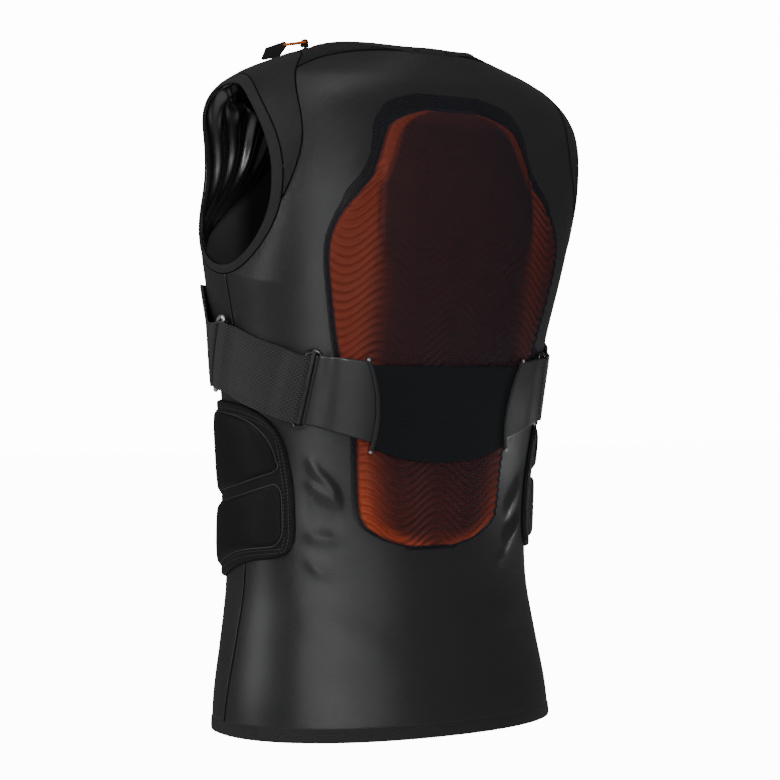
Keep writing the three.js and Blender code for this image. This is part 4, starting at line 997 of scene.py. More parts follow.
# Outline of the pad from its foot up: height as a share of PAD_TALL, half width of PAD_HALF_WIDTH.
PAD_OUTLINE = np.array([
    (0, 0.2), (0.012, 0.35), (0.03, 0.47), (0.05, 0.56), (0.08, 0.61), (0.2, 0.645), (0.26, 0.67),
    (0.44, 0.85), (0.62, 0.98), (0.68, 1), (0.72, 0.985), (0.76, 0.93), (0.8, 0.83), (0.84, 0.72),
    (0.88, 0.665), (0.955, 0.565), (0.975, 0.49), (0.99, 0.37), (1, 0.25)])

# Air holes: how far out from the spine and how high, in millimetres.
AIR_HOLES = [(36, 545), (36, 525), (36, 505), (37, 483), (-38, 545), (-38, 525), (-38, 505), (-37, 483),
             (0, 481), (0, 459)]
HOLE_WIDE = 1.7 * MM
HOLE_DEEP = 2.5 * MM

# Painted light and shade on the foam: how much darker it is painted in the middle and in the holes,
# as painted shade, and how much brighter at its rim, as painted light.
PAINTED_MIDDLE_SHADE = 0.72
PAINTED_HOLE_SHADE = 0.5
PAINTED_RIM_LIGHT = 0.6


def pad_half(height):
    """Half the width of the pad at a height, from its outline."""
    up = np.clip((height - PAD_LOW) / PAD_TALL, 0, 1)
    return PAD_HALF_WIDTH * read_pairs(PAD_OUTLINE, up) - PAD_SHY


def plateau(girth, height):
    """1 on the raised middle of the upper pad, 0 off it, with a fairly sharp edge."""
    off_it = smooth_step(np.abs(girth) - PLATEAU_HALF, *PLATEAU_EDGE)
    return (1 - off_it) * smooth_step(height - PLATEAU_LOW, *PLATEAU_START)


def middle(girth, height):
    """1 along the spine and 0 at the sides: sharp beside the raised part, soft below it."""
    soft = mix(24 * MM, 3 * MM, smooth_step(height, PLATEAU_LOW - 50 * MM, PLATEAU_LOW + 10 * MM))
    wide = np.minimum(PLATEAU_HALF, pad_half(height) - 14 * MM)
    return 1 - smooth_step(np.abs(girth), wide - soft, wide + soft / 2)


def ridges(girth, height):
    """Stacked chevrons: a cosine of height, shifted by a cosine of the distance from the spine."""
    shift = CHEVRON_RISE * np.cos(2 * math.pi * girth / CHEVRON_WIDE)
    strength = 1 - CALM * plateau(girth, height)
    return RIDGE_DEEP * strength * np.cos(2 * math.pi * (height - shift) / RIDGE_PITCH)


def pad_dome(girth, height):
    """The pad's thickness: its edge, a dome of (1 - a^3)(1 - |2u - 1|^8), with a across and u up, and
    the raised middle."""
    across = np.minimum(np.abs(girth) / pad_half(height), 1)
    up = np.clip((height - PAD_LOW) / PAD_TALL, 0, 1)
    dome = (1 - across ** 3) * (1 - np.abs(2 * up - 1) ** 8)
    return PAD_EDGE + (PAD_CROWN - PAD_EDGE) * dome + PLATEAU_RISE * plateau(girth, height)


def inside_pad(girth, height):
    """Distance in from the pad's outline, less than zero outside it."""
    slope = (pad_half(height + MM) - pad_half(height - MM)) / (2 * MM)
    aside = (pad_half(height) - np.abs(girth)) / np.sqrt(1 + slope ** 2)
    return np.minimum(aside, np.minimum(height - PAD_LOW, PAD_HIGH - height))


def rounded(inside, radius):
    """A rim rounded as a quarter circle: 0 at the outline and 1 a radius in from it."""
    return np.sqrt(1 - (1 - np.clip(inside / radius, 0, 1)) ** 2)


def cushion(name, girth, height, low, high):
    """A closed pad between two distances off the torso, which meet at its rim."""
    outer, inner = wrapped(girth, height, high), wrapped(girth, height, low)
    both = np.concatenate([outer, inner[:, ::-1]], 1)
    return weld(add_surface(name, both, close_across=True, solid=True))


def eased(shares):
    """Shares from 0 to 1 drawn closer together towards both ends."""
    x = 2 * shares - 1
    return (1.25 * x - 0.25 * x ** 3 + 1) / 2


def places_of(piece):
    """Girth and height of a piece's vertices, worked back from where they are."""
    flat = np.empty(3 * len(piece.data.vertices))
    piece.data.vertices.foreach_get("co", flat)
    x, y, z = flat.reshape(-1, 3).T
    height = z + SHOULDER_REST
    return girth_at(np.arctan2(x, y), height), height


def air_holes(girth, height):
    """1 at the middle of each air hole, falling off as a bell."""
    return sum(np.exp(-(((girth - x * MM) ** 2 + (height - z * MM) ** 2) / HOLE_WIDE ** 2))
               for x, z in AIR_HOLES)


pad_p, pad_q = grid(124, 310)
pad_up = PAD_LOW + PAD_TALL * eased(pad_q)
pad_girth = (2 * eased(pad_p) - 1) * pad_half(pad_up)
rim = rounded(inside_pad(pad_girth, pad_up), PAD_ROUND)
pad_top = UNDER_PAD + rim * (pad_dome(pad_girth, pad_up) + ridges(pad_girth, pad_up)
                             - HOLE_DEEP * air_holes(pad_girth, pad_up))
pad = cushion("ridged_pad", pad_girth, pad_up, UNDER_PAD + 0 * pad_up, pad_top)
girth, height = places_of(pad)
# The foam's colour carries painted light and shade: a brighter rim, a darker middle and darker air holes.
painted_rim_light = PAINTED_RIM_LIGHT * (1 - smooth_step(inside_pad(girth, height), 5 * MM, 18 * MM))
painted_light = np.clip(1 - PAINTED_MIDDLE_SHADE * middle(girth, height) + painted_rim_light, 0, 1)
paint(pad, "painted_light", np.clip(painted_light - PAINTED_HOLE_SHADE * air_holes(girth, height), 0, 1))

pad_foam, tree, shader = new_finish("pad_foam")
bump = add_node(tree, "Bump", Distance=PORES, Height=clouds(tree, 700))
# The foam is blended from its orange down to a darker colour by the painted light and shade.
fill(tree, shader, Roughness=0.55, Normal=bump.outputs[0],
     Base_Color=blend_colours(tree, painted(tree, "painted_light"), (0.15, 0.022, 0.012), (0.66, 0.09, 0.02)))
dress(pad, pad_foam, "pad_foam", "back_pad")

# Pad cover
# A sheer navy-black net drawn over the pad and sewn down round it with two rows of stitches. It shows
# the orange at the ridged sides and foot, and veils it over the smooth middle. Its opacity is painted:
# raised over the middle as painted shade and lowered at the foot as painted light.
COVER = 0.5 * MM
COVER_ABOVE = 17 * MM
COVER_SIDE = 10 * MM
COVER_HEM = 3.4 * MM
HUG = 0.5
COVER_GAP = 1.4 * MM
COVER_SLOPE = (-4 * MM, 1.5 * MM)
COVER_LAID = 0.2 * MM
VEIL = 0.2
# The net's own opacity, then painted shade added over the middle and painted light at the pad's foot.
PAINTED_LIGHT_FOOT = (30 * MM, 130 * MM)
VEIL_PAINTED_SHADE = 0.17
VEIL_PAINTED_LIGHT = 0.14

# How far the cover's seam lies outside the pad: height as a share of PAD_TALL, share of COVER_SIDE.
COVER_SEAM = np.array([
    (0, 0.3), (0.45, 0.24), (0.7, 0.24), (0.77, 0.4), (0.82, 1.1), (0.88, 0.65), (0.92, 0.8),
    (0.955, 1.25), (0.975, 1.9), (0.99, 3), (1, 4.2)])

# Beyond the pad's foot and top: distance past it in millimetres, width as a share of the seam's.
COVER_FOOT = np.array([(0, 1), (2.4, 1), (3.4, 0.9)])
COVER_TOP = np.array([(0, 1), (3.4, 0.97), (10.2, 0.8), (17, 0.46)])


def seam_half(height):
    """Half the width of the cover at a height."""
    up = np.clip((height - PAD_LOW) / PAD_TALL, 0, 1)
    half = pad_half(height) + PAD_SHY + COVER_SIDE * read_pairs(COVER_SEAM, up)
    below, above = np.maximum(PAD_LOW - height, 0) / MM, np.maximum(height - PAD_HIGH, 0) / MM
    return half * read_pairs(COVER_FOOT, below) * read_pairs(COVER_TOP, above)


def cover_lift(girth, height):
    """The cover's distance off the torso: it hugs the pad and comes down just outside its rim."""
    at = np.clip(height, PAD_LOW + MM, PAD_HIGH - MM)
    inside = inside_pad(girth, height)
    over = pad_dome(girth, at) + HUG * ridges(girth, at) + COVER_GAP
    return UNDER_PAD + over * smooth_step(inside, *COVER_SLOPE) + COVER_LAID


cover_p, cover_q = grid(130, 320)
cover_up = mix(PAD_LOW - COVER_HEM, PAD_HIGH + COVER_ABOVE, eased(cover_q))
cover_girth = (2 * eased(cover_p) - 1) * seam_half(cover_up)
cover = add_surface("sheer_cover", wrapped(cover_girth, cover_up, cover_lift(cover_girth, cover_up)))
girth, height = cover_girth.ravel(), cover_up.ravel()
# The net's opacity carries painted shade over the middle and painted light at the pad's foot.
painted_light_at_foot = 1 - smooth_step(height - PAD_LOW, *PAINTED_LIGHT_FOOT)
paint(cover, "veil_and_painted_light", VEIL + VEIL_PAINTED_SHADE * middle(girth, height) - VEIL_PAINTED_LIGHT * painted_light_at_foot)
give_wall(cover, COVER)

sheer_cloth = cloth_finish(
    "sheer_cloth", (0.014, 0.014, 0.019), (0.04, 0.04, 0.052), 1.2 * MM, 0.02 * MM, 0.7, 0.0, 0.08)
tree = sheer_cloth.node_tree
grazing = add_node(tree, "LayerWeight", Blend=0.35).outputs["Facing"]
alpha = math_node(tree, "ADD", painted(tree, "veil_and_painted_light"), math_node(tree, "MULTIPLY", grazing, 0.8))
fill(tree, tree.nodes["Principled BSDF"], Alpha=alpha)
dress(cover, sheer_cloth, "sheer_cloth", "pad_cover")

# Kidney belt
# A sheer dark panel over the spine, two curved rubber ribs with rivets, and a laminated wing on each
# side that turns round the bar of the rear ring.
BELT_TALL = 82 * MM
BELT_THICK = 1.5 * MM
WING_END = 125 * MM
BAR_WIDE = 4 * MM
BAR_THICK = 2.2 * MM
RING_TALL = 75 * MM
RING_WIDE = 16 * MM
WIRE = 4 * MM
REAR_RING_AT = 134 * MM
REAR_RING_UP = BELT_LOW + 54 * MM
REAR_RING_LEAN = -0.1
SIDE_RING_AT = 255 * MM
SIDE_RING_UP = BELT_LOW + 88 * MM
SIDE_RING_LEAN = -0.32
STRAP = 62 * MM
STRAP_THICK = 1.8 * MM
STRAP_LIFT = 4.9 * MM
RING_LIFT = 7.3 * MM
LOOP_GAP = 0.8 * MM
STRAP_OVER = 3.6 * MM
BELT_CROWN = 17.8 * MM
CENTRE_DIP = 15 * MM
CENTRE_DROP = 4 * MM
WING_FOOT = BELT_LOW + 22 * MM
WING_STEP = 5 * MM
WING_RISE = 4 * MM
RIB_END = 5 * MM
BAR_AT = 70.5 * MM
BAR_BOW = 7 * MM
BAR_WAIST = BELT_LOW + 26 * MM
TURN_STEPS = 18
WING_REACH = 0.9
WING_CLIMB = (0.6, 0.95)

# How far the belt stands off the torso: length round the girth as a share of WING_END, lift as a
# share of BELT_CROWN.
BELT_FALL = np.array([(0, 1), (0.4, 0.97), (0.62, 0.88), (0.76, 0.76), (0.86, 0.66), (1, 0.46)])


def belt_lift(girth):
    """The belt's distance off the torso, which falls from the spine to the ends of the wings."""
    return BELT_CROWN * read_pairs(BELT_FALL, np.abs(girth) / WING_END)


def bar_at(height):
    """The rib's line: a parabola that bows towards the spine at the waist."""
    return BAR_AT + BAR_BOW * ((height - BAR_WAIST) / (BELT_TALL / 2)) ** 2


def ring_bar(at, up, lean, place):
    """The line of a ring's near or far bar: length round the girth at a height."""
    return lambda height: at + lean * (height - up) + place * (RING_WIDE - WIRE) / 2


def turn_round(bar, ahead, heights):
    """A strap end's turn round a bar as girths, heights and distances off the torso: a half circle on
    the side of the bar away from the strap, from under the bar to over it, or the other way where the
    strap comes to the bar from behind."""
    radius = WIRE / 2 + LOOP_GAP + STRAP_THICK / 2
    turn = ahead * np.linspace(-math.pi / 2, math.pi / 2, TURN_STEPS)[None, :]
    height = heights[:, None] + 0 * turn
    return bar(height) - ahead * radius * np.cos(turn), height, RING_LIFT + radius * np.sin(turn) + 0 * height


def band_sheet(name, side, thick, *parts):
    """A sheet of even thickness through runs of girths, heights and distances off the torso."""
    girth, height, off = (np.concatenate([part[k] for part in parts], 1) for k in range(3))
    return give_wall(add_surface(name, wrapped(side * girth, height, off)), thick, 0)


centre_share, centre_v = grid(100, 50)
centre_share = 2 * centre_share - 1
centre_low = BELT_LOW - CENTRE_DIP * (1 - centre_share ** 2)
centre_up = mix(centre_low, BELT_LOW + BELT_TALL - CENTRE_DROP, centre_v)
centre_girth = centre_share * (bar_at(centre_up) - SEAM_GAP)
net_panel = cloth_finish(
    "net_panel", (0.009, 0.010, 0.012), (0.02, 0.022, 0.026), 2.4 * MM, 0.2 * MM, 0.7, 0.0, 0.06)
centre = band_sheet("belt_net_panel", 1, BELT_THICK, (centre_girth, centre_up, belt_lift(centre_girth)))
dress(centre, net_panel, "smooth_cloth", "belt_back_panel")

laminate = plain_finish("laminate", (0.012, 0.012, 0.013), 0.4, grain=0.02 * MM, grain_scale=1400, coat=0.2)
REAR_RING = (REAR_RING_AT, REAR_RING_UP, REAR_RING_LEAN)
SIDE_RING = (SIDE_RING_AT, SIDE_RING_UP, SIDE_RING_LEAN)
rear_near, rear_far = ring_bar(*REAR_RING, -1), ring_bar(*REAR_RING, 1)
side_near, side_far = ring_bar(*SIDE_RING, -1), ring_bar(*SIDE_RING, 1)
wing_share, wing_v = grid(60, 40)
wing_share = WING_REACH * wing_share
wing_high = BELT_LOW + BELT_TALL + WING_RISE
wing_low = mix(BELT_LOW + WING_STEP, WING_FOOT, wing_share)
wing_up = mix(wing_low, mix(BELT_LOW + BELT_TALL, wing_high, wing_share), wing_v)
wing_girth = mix(bar_at(wing_up) + SEAM_GAP, rear_near(wing_up), wing_share)
wing_off = mix(belt_lift(wing_girth), RING_LIFT + STRAP_OVER, smooth_step(wing_share, *WING_CLIMB))
wing_turn = turn_round(rear_near, -1, mix(WING_FOOT, wing_high, wing_v[:, 0]))
rib_up = np.linspace(BELT_LOW - RIB_END, BELT_LOW + BELT_TALL + RIB_END, 60)
RIVETS = (0.03, 0.97)
RIVET = np.array([2.4, 2.4, 1.2]) * MM
rivet_metal = plain_finish("rivet_metal", (0.6, 0.6, 0.62), 0.4, metallic=1)
for word, side in SIDES:
    wing = band_sheet(f"laminated_wing_{word}", side, BELT_THICK, (wing_girth, wing_up, wing_off), wing_turn)
    dress(wing, laminate, "laminate", f"belt_wing_{word}")
    rib_off = belt_lift(bar_at(rib_up)) + BELT_THICK / 2 + LAYER_GAP + BAR_THICK / 2
    rib_line = wrapped(side * bar_at(rib_up), rib_up, rib_off)
    rib_out = unit(wrapped(side * bar_at(rib_up), rib_up, rib_off + MM) - rib_line)
    rib_along = unit(np.gradient(rib_line, axis=0))
    rib = rod(f"curved_rib_{word}", rib_line, np.cross(rib_along, rib_out), rib_out,
              BAR_WIDE / 2, BAR_THICK / 2, square=0.55, closed=False)
    dress(rib, black_rubber, "black_rubber", f"belt_rib_{word}")
    at = (np.array(RIVETS) * (len(rib_up) - 1)).astype(int)
    top = rib_line[at] + rib_out[at] * BAR_THICK / 2
    rivets = stamp(f"rib_rivets_{word}", top, rib_along[at], rib_out[at], LENS * RIVET, LENS_FACES)
    dress(rivets, rivet_metal, "bright_metal")

# Rings and straps
# Oblong rings bent from wire, dark at the back and bright at the sides, joined by straps of knitted
# elastic whose ends turn round the bars. The front straps meet at the middle, left over right.
FRONT_STRAP_UP = BELT_LOW + 118 * MM
FRONT_STRAP = 78 * MM
FRONT_STRAP_LIFT = 6.4 * MM
FRONT_STRAP_OVER = 2.6 * MM
FRONT_LAP = 30 * MM
FRONT_SHORT = 14 * MM
RING_CORNER = 5 * MM
SPAN_ENDS = (0.1, 0.9)
SPAN_CLIMB = (0.05, 0.22)
FRONT_START = 0.06
FRONT_SPREAD = 0.3
FRONT_CLIMB = (0.03, 0.2)
LAP_CLIMB = (0.6, 0.85)


def ring_path(at, up, lean):
    """A rounded oblong: four quarter circles joined by straight bars, leaning across the girth."""
    wide, tall = (RING_WIDE - WIRE) / 2, (RING_TALL - WIRE) / 2
    arc = np.linspace(0, math.pi / 2, 9)
    corners = []
    for quarter, (x, z) in enumerate(((1, 1), (-1, 1), (-1, -1), (1, -1))):
        bend = arc + quarter * math.pi / 2
        corners.append(np.stack([x * (wide - RING_CORNER) + RING_CORNER * np.cos(bend),
                                 z * (tall - RING_CORNER) + RING_CORNER * np.sin(bend)], -1))
    loop = np.concatenate(corners + [corners[0][:1]])
    run = run_along(loop)
    even = np.linspace(0, run[-1], 120, endpoint=False)
    across, along = np.interp(even, run, loop[:, 0]), np.interp(even, run, loop[:, 1])
    return at + lean * along + across, up + along


bright_metal = plain_finish("bright_metal", (0.9, 0.91, 0.92), 0.32, metallic=1, grain=0.01 * MM)


def dashed_finish(name, dark, light):
    """Knitted elastic: short dashes in rows along the strap, every other row shifted by half."""
    material = cloth_finish(name, dark, light, 1.1 * MM, 0.1 * MM, 0.7, 0.15)
    tree = material.node_tree
    shader = tree.nodes["Principled BSDF"]
    under, relief = (shader.inputs[k].links[0].from_socket for k in ("Base Color", "Normal"))
    dashes = add_node(tree, "TexBrick", Vector=cloth_map(tree), Scale=1, Brick_Width=4.4 * MM,
                      Row_Height=2.2 * MM, Mortar_Size=0.45 * MM).outputs["Fac"]
    lift = add_node(tree, "Bump", Distance=0.5 * MM, Height=dashes, Normal=relief)
    lift.invert = True
    fill(tree, shader, Base_Color=blend_colours(tree, dashes, under, dark), Normal=lift.outputs[0])
    return material


elastic = dashed_finish("elastic", (0.009, 0.009, 0.010), (0.11, 0.111, 0.115))


def strap_heights(up, wide, v):
    """Heights across a strap about its middle."""
    return up + wide * (v - 0.5)


span_share, span_v = grid(70, 36)
span_share = mix(*SPAN_ENDS, span_share)
span_up = strap_heights(mix(REAR_RING_UP, SIDE_RING_UP, span_share), STRAP, span_v)
span_girth = mix(rear_far(span_up), side_near(span_up), span_share)
span_near = 1 - smooth_step(np.minimum(span_share, 1 - span_share), *SPAN_CLIMB)
span_off = mix(STRAP_LIFT, RING_LIFT + STRAP_OVER, span_near)
rear_turn, side_turn, front_turn = (
    turn_round(bar, ahead, strap_heights(up, STRAP, span_v[:, 0])) for bar, ahead, up in (
        (rear_far, 1, REAR_RING_UP), (side_near, -1, SIDE_RING_UP), (side_far, 1, SIDE_RING_UP)))
front_share, front_v = grid(90, 36)
front_share = mix(FRONT_START, 1, front_share)
front_rise = smooth_step(front_share, FRONT_START, FRONT_SPREAD)
front_wide = mix(STRAP, FRONT_STRAP, front_rise)
front_up = strap_heights(mix(SIDE_RING_UP, FRONT_STRAP_UP, front_rise), front_wide, front_v)
front_half = girth_at(math.pi, front_up)
front_near = 1 - smooth_step(front_share, *FRONT_CLIMB)
for word, side in SIDES:
    for place, where, metal, slot in (
            ("rear", REAR_RING, dark_metal, "dark_metal"), ("side", SIDE_RING, bright_metal, "bright_metal")):
        girth, height = ring_path(*where)
        ring = laid_rod(f"wire_ring_{place}_{word}", lambda off: wrapped(side * girth, height, off),
                        RING_LIFT, WIRE / 2, WIRE / 2, sides=14)
        dress(ring, metal, slot, f"{place}_ring_{word}")
    strap = band_sheet(f"elastic_side_{word}", side, STRAP_THICK,
                       rear_turn, (span_girth, span_up, span_off), side_turn)
    dress(strap, elastic, "elastic", f"side_strap_{word}")
    over = side > 0
    front_girth = mix(side_far(front_up), front_half + (FRONT_LAP if over else -FRONT_SHORT), front_share)
    lapped = FRONT_STRAP_OVER * smooth_step(front_share, *LAP_CLIMB) if over else 0
    front_off = mix(FRONT_STRAP_LIFT + lapped, RING_LIFT + STRAP_OVER, front_near)
    strap = band_sheet(f"elastic_front_{word}", side, STRAP_THICK,
                       front_turn, (front_girth, front_up, front_off))
    dress(strap, elastic, "elastic", f"front_strap_{word}")

# Flank pads
# A padded base of stretch mesh with two cells of smooth cloth over foam quilted onto it, each edged
# with a thin pale grey rod as a painted highlight of its rolled rim.
FLANK_BELOW_RING = 5.5 * MM
FLANK_TALL = SIDE_RING_UP - RING_TALL / 2 - FLANK_BELOW_RING - FLANK_LOW
FLANK_FRONT = 300 * MM
FLANK_THICK = 4 * MM
FLANK_ROUND = 3.5 * MM
CELL_THICK = 5.5 * MM
CELL_MARGIN = 11 * MM
CELL_ROUND = 0.035
CELL_RIM = 5 * MM
CELL_FOOT = 0.55
CELL_SHY = 0.03
BASE_EDGE = 0.2 * MM

# Outline of the flank pad: how far forward as a share of its length, how high of FLANK_TALL.
FLANK_BACK_EDGE = np.array([
    (0.07, 0.15), (0.03, 0.22), (0.025, 0.35), (0.035, 0.5), (0.06, 0.62), (0.1, 0.74), (0.15, 0.82)])
FLANK_TOP = np.array([
    (0.15, 0.82), (0.215, 0.88), (0.3, 0.925), (0.435, 0.96), (0.7, 0.985), (1, 0.99)])
FLANK_FOOT = np.array([
    (0.07, 0.15), (0.13, 0.13), (0.27, 0.11), (0.4, 0.085), (0.55, 0.045), (0.7, 0), (1, -0.04)])
FLANK_DIVIDE = np.array([(0.07, 0.59), (0.15, 0.56), (0.39, 0.494), (0.8, 0.427), (1, 0.4)])
UPPER_CELL_TOP = np.array([
    (0.105, 0.66), (0.12, 0.7), (0.15, 0.755), (0.2, 0.81), (0.27, 0.855), (0.35, 0.885), (0.5, 0.91),
    (0.7, 0.925), (1, 0.93)])
SHOULDER_OF_CELL = 0.62
# Half width and half thickness of the pale rod round each cell, a painted highlight of its rolled rim.
PAINTED_RIM_HIGHLIGHT = np.array([0.5, 0.4]) * MM


def flank_spot(along, up):
    """A place on the flank pad: a share of the way forward and a share of its height."""
    return spot(mix(FLANK_BACK, FLANK_FRONT, along), FLANK_LOW + FLANK_TALL * up)


def up_along(table, along):
    """How high an edge of the flank pad is at a share of the way forward."""
    return read_pairs(table, np.maximum(along, table[0, 0]))


def along_up(up):
    """How far forward the back edge of the flank pad is at a share of its height."""
    return read_table(FLANK_BACK_EDGE[:, 1], FLANK_BACK_EDGE[:, 0], up)


def flank_edge(table):
    """The foot or the top edge of the flank pad."""
    def curve(t):
        along = mix(table[0, 0], 1, np.asarray(t, float))
        return flank_spot(along, up_along(table, along))
    return curve


def back_edge_of_flank(t):
    """The back edge of the flank pad, from its foot to its top."""
    up = mix(FLANK_FOOT[0, 1], FLANK_TOP[0, 1], np.asarray(t, float))
    return flank_spot(along_up(up), up)


flank_foot, flank_top = flank_edge(FLANK_FOOT), flank_edge(FLANK_TOP)
flank_base = patch(flank_foot, flank_top, back_edge_of_flank,
                   straight(flank_foot(one)[0], flank_top(one)[0]))


def cell_spots(foot, top, foot_lift, top_lift, u, v):
    """The spots of a cell: between two lines, in by a margin, with its corners pinched in."""
    inset = CELL_MARGIN / (FLANK_FRONT - FLANK_BACK)
    pinch = CELL_ROUND * (2 * v - 1) ** 6
    along = mix(inset + CELL_SHY + pinch, 1 - inset / 2, u)
    up = mix(up_along(foot, along) + foot_lift, up_along(top, along) + top_lift, v)
    return flank_spot(mix(along_up(np.minimum(up, SHOULDER_OF_CELL)) + inset + pinch, 1 - inset / 2, u), up)


def rim_of(spots, radius):
    """The rounding of a cushion's rim from the distance of its spots to the four sides of the grid."""
    wide = np.linalg.norm(spots[:, -1] - spots[:, 0], axis=-1)[:, None]
    tall = np.linalg.norm(spots[-1] - spots[0], axis=-1)[None, :]
    p, q = grid(spots.shape[1] - 1, spots.shape[0] - 1)
    p, q = eased(p), eased(q)
    return rounded(np.minimum(np.minimum(p, 1 - p) * wide, np.minimum(q, 1 - q) * tall), radius)


flank_p, flank_q = grid(90, 80)
base_spots = flank_base(eased(flank_p), eased(flank_q))
base_rim = rim_of(base_spots, FLANK_ROUND)
margin_up = CELL_MARGIN / FLANK_TALL
cell_p, cell_q = (eased(part) for part in grid(70, 44))
crown = (1 - (2 * cell_p - 1) ** 4) * (1 - (2 * cell_q - 1) ** 4)
cell_lines = (
    ("lower", FLANK_FOOT, FLANK_DIVIDE, margin_up, -margin_up / 2),
    ("upper", FLANK_DIVIDE, UPPER_CELL_TOP, margin_up / 2, 0))
flank_cloth = cloth_finish(
    "flank_cloth", (0.004, 0.004, 0.004), (0.011, 0.011, 0.012), 1.6 * MM, 0.2 * MM, 0.5, 0.0)
cell_cloth = cloth_finish(
    "cell_cloth", (0.003, 0.003, 0.004), (0.006, 0.006, 0.007), 1.0 * MM, 0.06 * MM, 0.5, 0.0, 0.25)
# Pale grey cloth of the rod round each cell: a painted highlight.
painted_rim_highlight_cloth = plain_finish("painted_rim_highlight_cloth", (0.07, 0.07, 0.073), 0.6)
for word, side in SIDES:
    low = UNDER_PAD + 0 * base_rim
    base = cushion(f"flank_base_{word}", side * base_spots[..., 0], base_spots[..., 1],
                   low, low + BASE_EDGE + (FLANK_THICK - BASE_EDGE) * base_rim)
    dress(base, flank_cloth, "mesh_cloth", f"flank_pad_{word}")
    for place, foot, top, foot_lift, top_lift in cell_lines:
        spots = cell_spots(foot, top, foot_lift, top_lift, cell_p, cell_q)
        low = UNDER_PAD + FLANK_THICK + 0 * crown
        high = low + rim_of(spots, CELL_RIM) * CELL_THICK * mix(CELL_FOOT, 1, crown)
        cell = cushion(f"quilted_cell_{place}_{word}", side * spots[..., 0], spots[..., 1], low, high)
        dress(cell, cell_cloth, "smooth_cloth", f"flank_cell_{place}_{word}")
        edge = np.concatenate([spots[0, :-1], spots[:-1, -1], spots[-1, :0:-1], spots[:0:-1, 0]])
        # A pale rod round the cell's rim, as a painted highlight.
        painted_rim_highlight = laid_rod(
            f"cell_piping_{place}_{word}", lambda off: wrapped(side * edge[:, 0], edge[:, 1], off),
            UNDER_PAD + FLANK_THICK + MM, *PAINTED_RIM_HIGHLIGHT)
        dress(painted_rim_highlight, painted_rim_highlight_cloth, "smooth_cloth")

# Zip pulls
# An orange coated link through the slider's bail and a slanted black rubber tab on its end. The tab is
# the CAD one with its edges softened.
LINK_LONG = 24 * MM
LINK_WIRE = 2.4 * MM
LINK_EASE = 0.5 * MM
LINK_LIE = 0.59
SLIDER_BACK = -4 * MM
SLIDER_TALL = 3 * MM
SLIDER_DEEP = 5 * MM
orange_coating = plain_finish("orange_coating", (0.8, 0.16, 0.015), 0.5, grain=0.04 * MM)
ridge_up = zip_top(ZIP_OUT)
link_slope = LINK_LIE * (ridge_up - zip_top(ZIP_OUT + LINK_LONG)) / LINK_LONG
bail_up = ridge_up + ZIP_THICK + LAYER_GAP + SLIDER_TALL + LINK_WIRE / 2 + LINK_EASE
link_half = SLIDER_DEEP / 2 + LINK_EASE + LINK_WIRE / 2
turn = np.linspace(0, 2 * math.pi, 96, endpoint=False)
link_along, link_across = (1 - signed_power(np.cos(turn), 0.25)) / 2, signed_power(np.sin(turn), 0.6)
for word, side in SIDES:
    down = unit(np.array([side, 0, -link_slope]))
    line = (np.array([side * ZIP_OUT, SLIDER_BACK, bail_up]) + link_along[:, None] * down * LINK_LONG
            + link_across[:, None] * np.array([0, link_half, 0]))
    along = unit(np.roll(line, -1, 0) - np.roll(line, 1, 0))
    up = unit(np.array([side * link_slope, 0, 1])) + 0 * line
    link = rod(f"coated_link_{word}", line, unit(np.cross(along, up)), up,
               LINK_WIRE / 2, LINK_WIRE / 2, sides=12)
    dress(link, orange_coating, "orange_coating", f"pull_link_{word}")
    soften(f"pull_tab_{word}", 0.6 * MM, 3, black_rubber)

# Stitching
# Rows of short stitches: in black two along the hem, two round the pad's cover, and rows across the
# strap ends and along their edges; in pale grey two inside the border of each flank pad, their paleness
# a painted highlight along the border's edges.
STITCH = np.array([1.3, 0.28, 0.25]) * MM
STITCH_PITCH = 3.4 * MM
COVER_STITCH_OFF = UNDER_PAD + 0.6 * MM
FLANK_STITCH_OFF = UNDER_PAD + FLANK_THICK + 0.1 * MM
thread = plain_finish("thread", (0.03, 0.03, 0.032), 0.55)
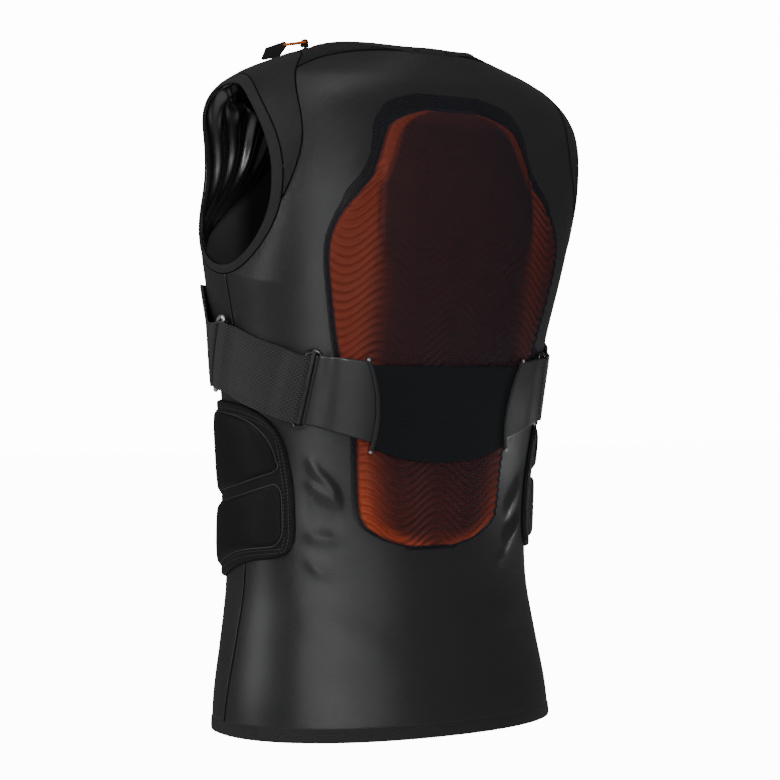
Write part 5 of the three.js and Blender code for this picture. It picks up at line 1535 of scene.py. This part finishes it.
# Pale grey thread for the flank pads' border: a painted highlight along its edges.
painted_highlight_thread = plain_finish("painted_highlight_thread", (0.16, 0.16, 0.165), 0.5)


def sew(name, lines, slot="edging", yarn=thread):
    """One mesh of stitches along several lines, each of girths, heights and distances off."""
    runs = []
    for girth, height, off in lines:
        place = wrapped(girth, height, off)
        runs.append(paced(place, wrapped(girth, height, off + MM) - place, STITCH_PITCH))
    places, alongs, outs = (np.concatenate([run[k] for run in runs]) for k in range(3))
    return dress(stamp(name, places, alongs, outs, LENS * STITCH, LENS_FACES), yarn, slot)


round_hem = np.linspace(-math.pi, math.pi, 1200)
hem_out = FABRIC / 2 + HEM_THICK / 2
sew("hem_stitching", [
    (girth_at(round_hem, up + 0 * round_hem), up + 0 * round_hem, hem_out + 0 * round_hem)
    for up in (1.2 * MM, 4 * MM)])


def cover_line(inset):
    """Round the cover's seam, in from its edge by inset: up one side and down the other."""
    up = mix(PAD_LOW - COVER_HEM + inset, PAD_HIGH + COVER_ABOVE - inset, eased(np.linspace(0, 1, 900)))
    out = seam_half(up) - inset
    girth = np.concatenate([out, -out[::-1], out[:1]])
    height = np.concatenate([up, up[::-1], up[:1]])
    return girth, height, COVER_STITCH_OFF + 0 * girth


cover_rows = sew("cover_stitching", [cover_line(0.9 * MM), cover_line(2.8 * MM)], "sheer_cloth")

for word, side in SIDES:
    lines = []
    for inset in (0.035, 0.06):
        t = np.linspace(0, 1, 200)
        low, high = inset * 1.1, 1 - inset * 1.1
        forward = mix(inset, 1, t)
        border = np.concatenate([
            flank_base(forward[::-1], 0 * t + low), flank_base(0 * t + inset, mix(low, high, t)),
            flank_base(forward, 0 * t + high)])
        lines.append((side * border[:, 0], border[:, 1], FLANK_STITCH_OFF + 0 * border[:, 0]))
    sew(f"flank_stitching_{word}", lines, "mesh_cloth", painted_highlight_thread)
    over = span_off + STRAP_THICK / 2
    cuts = [(slice(None), column) for column in (4, -4, 12, -12)] + [(row, slice(None)) for row in (2, 3, -3)]
    lines = [(side * span_girth[cut], span_up[cut], over[cut]) for cut in cuts]
    sew(f"strap_stitching_{word}", lines, "elastic")
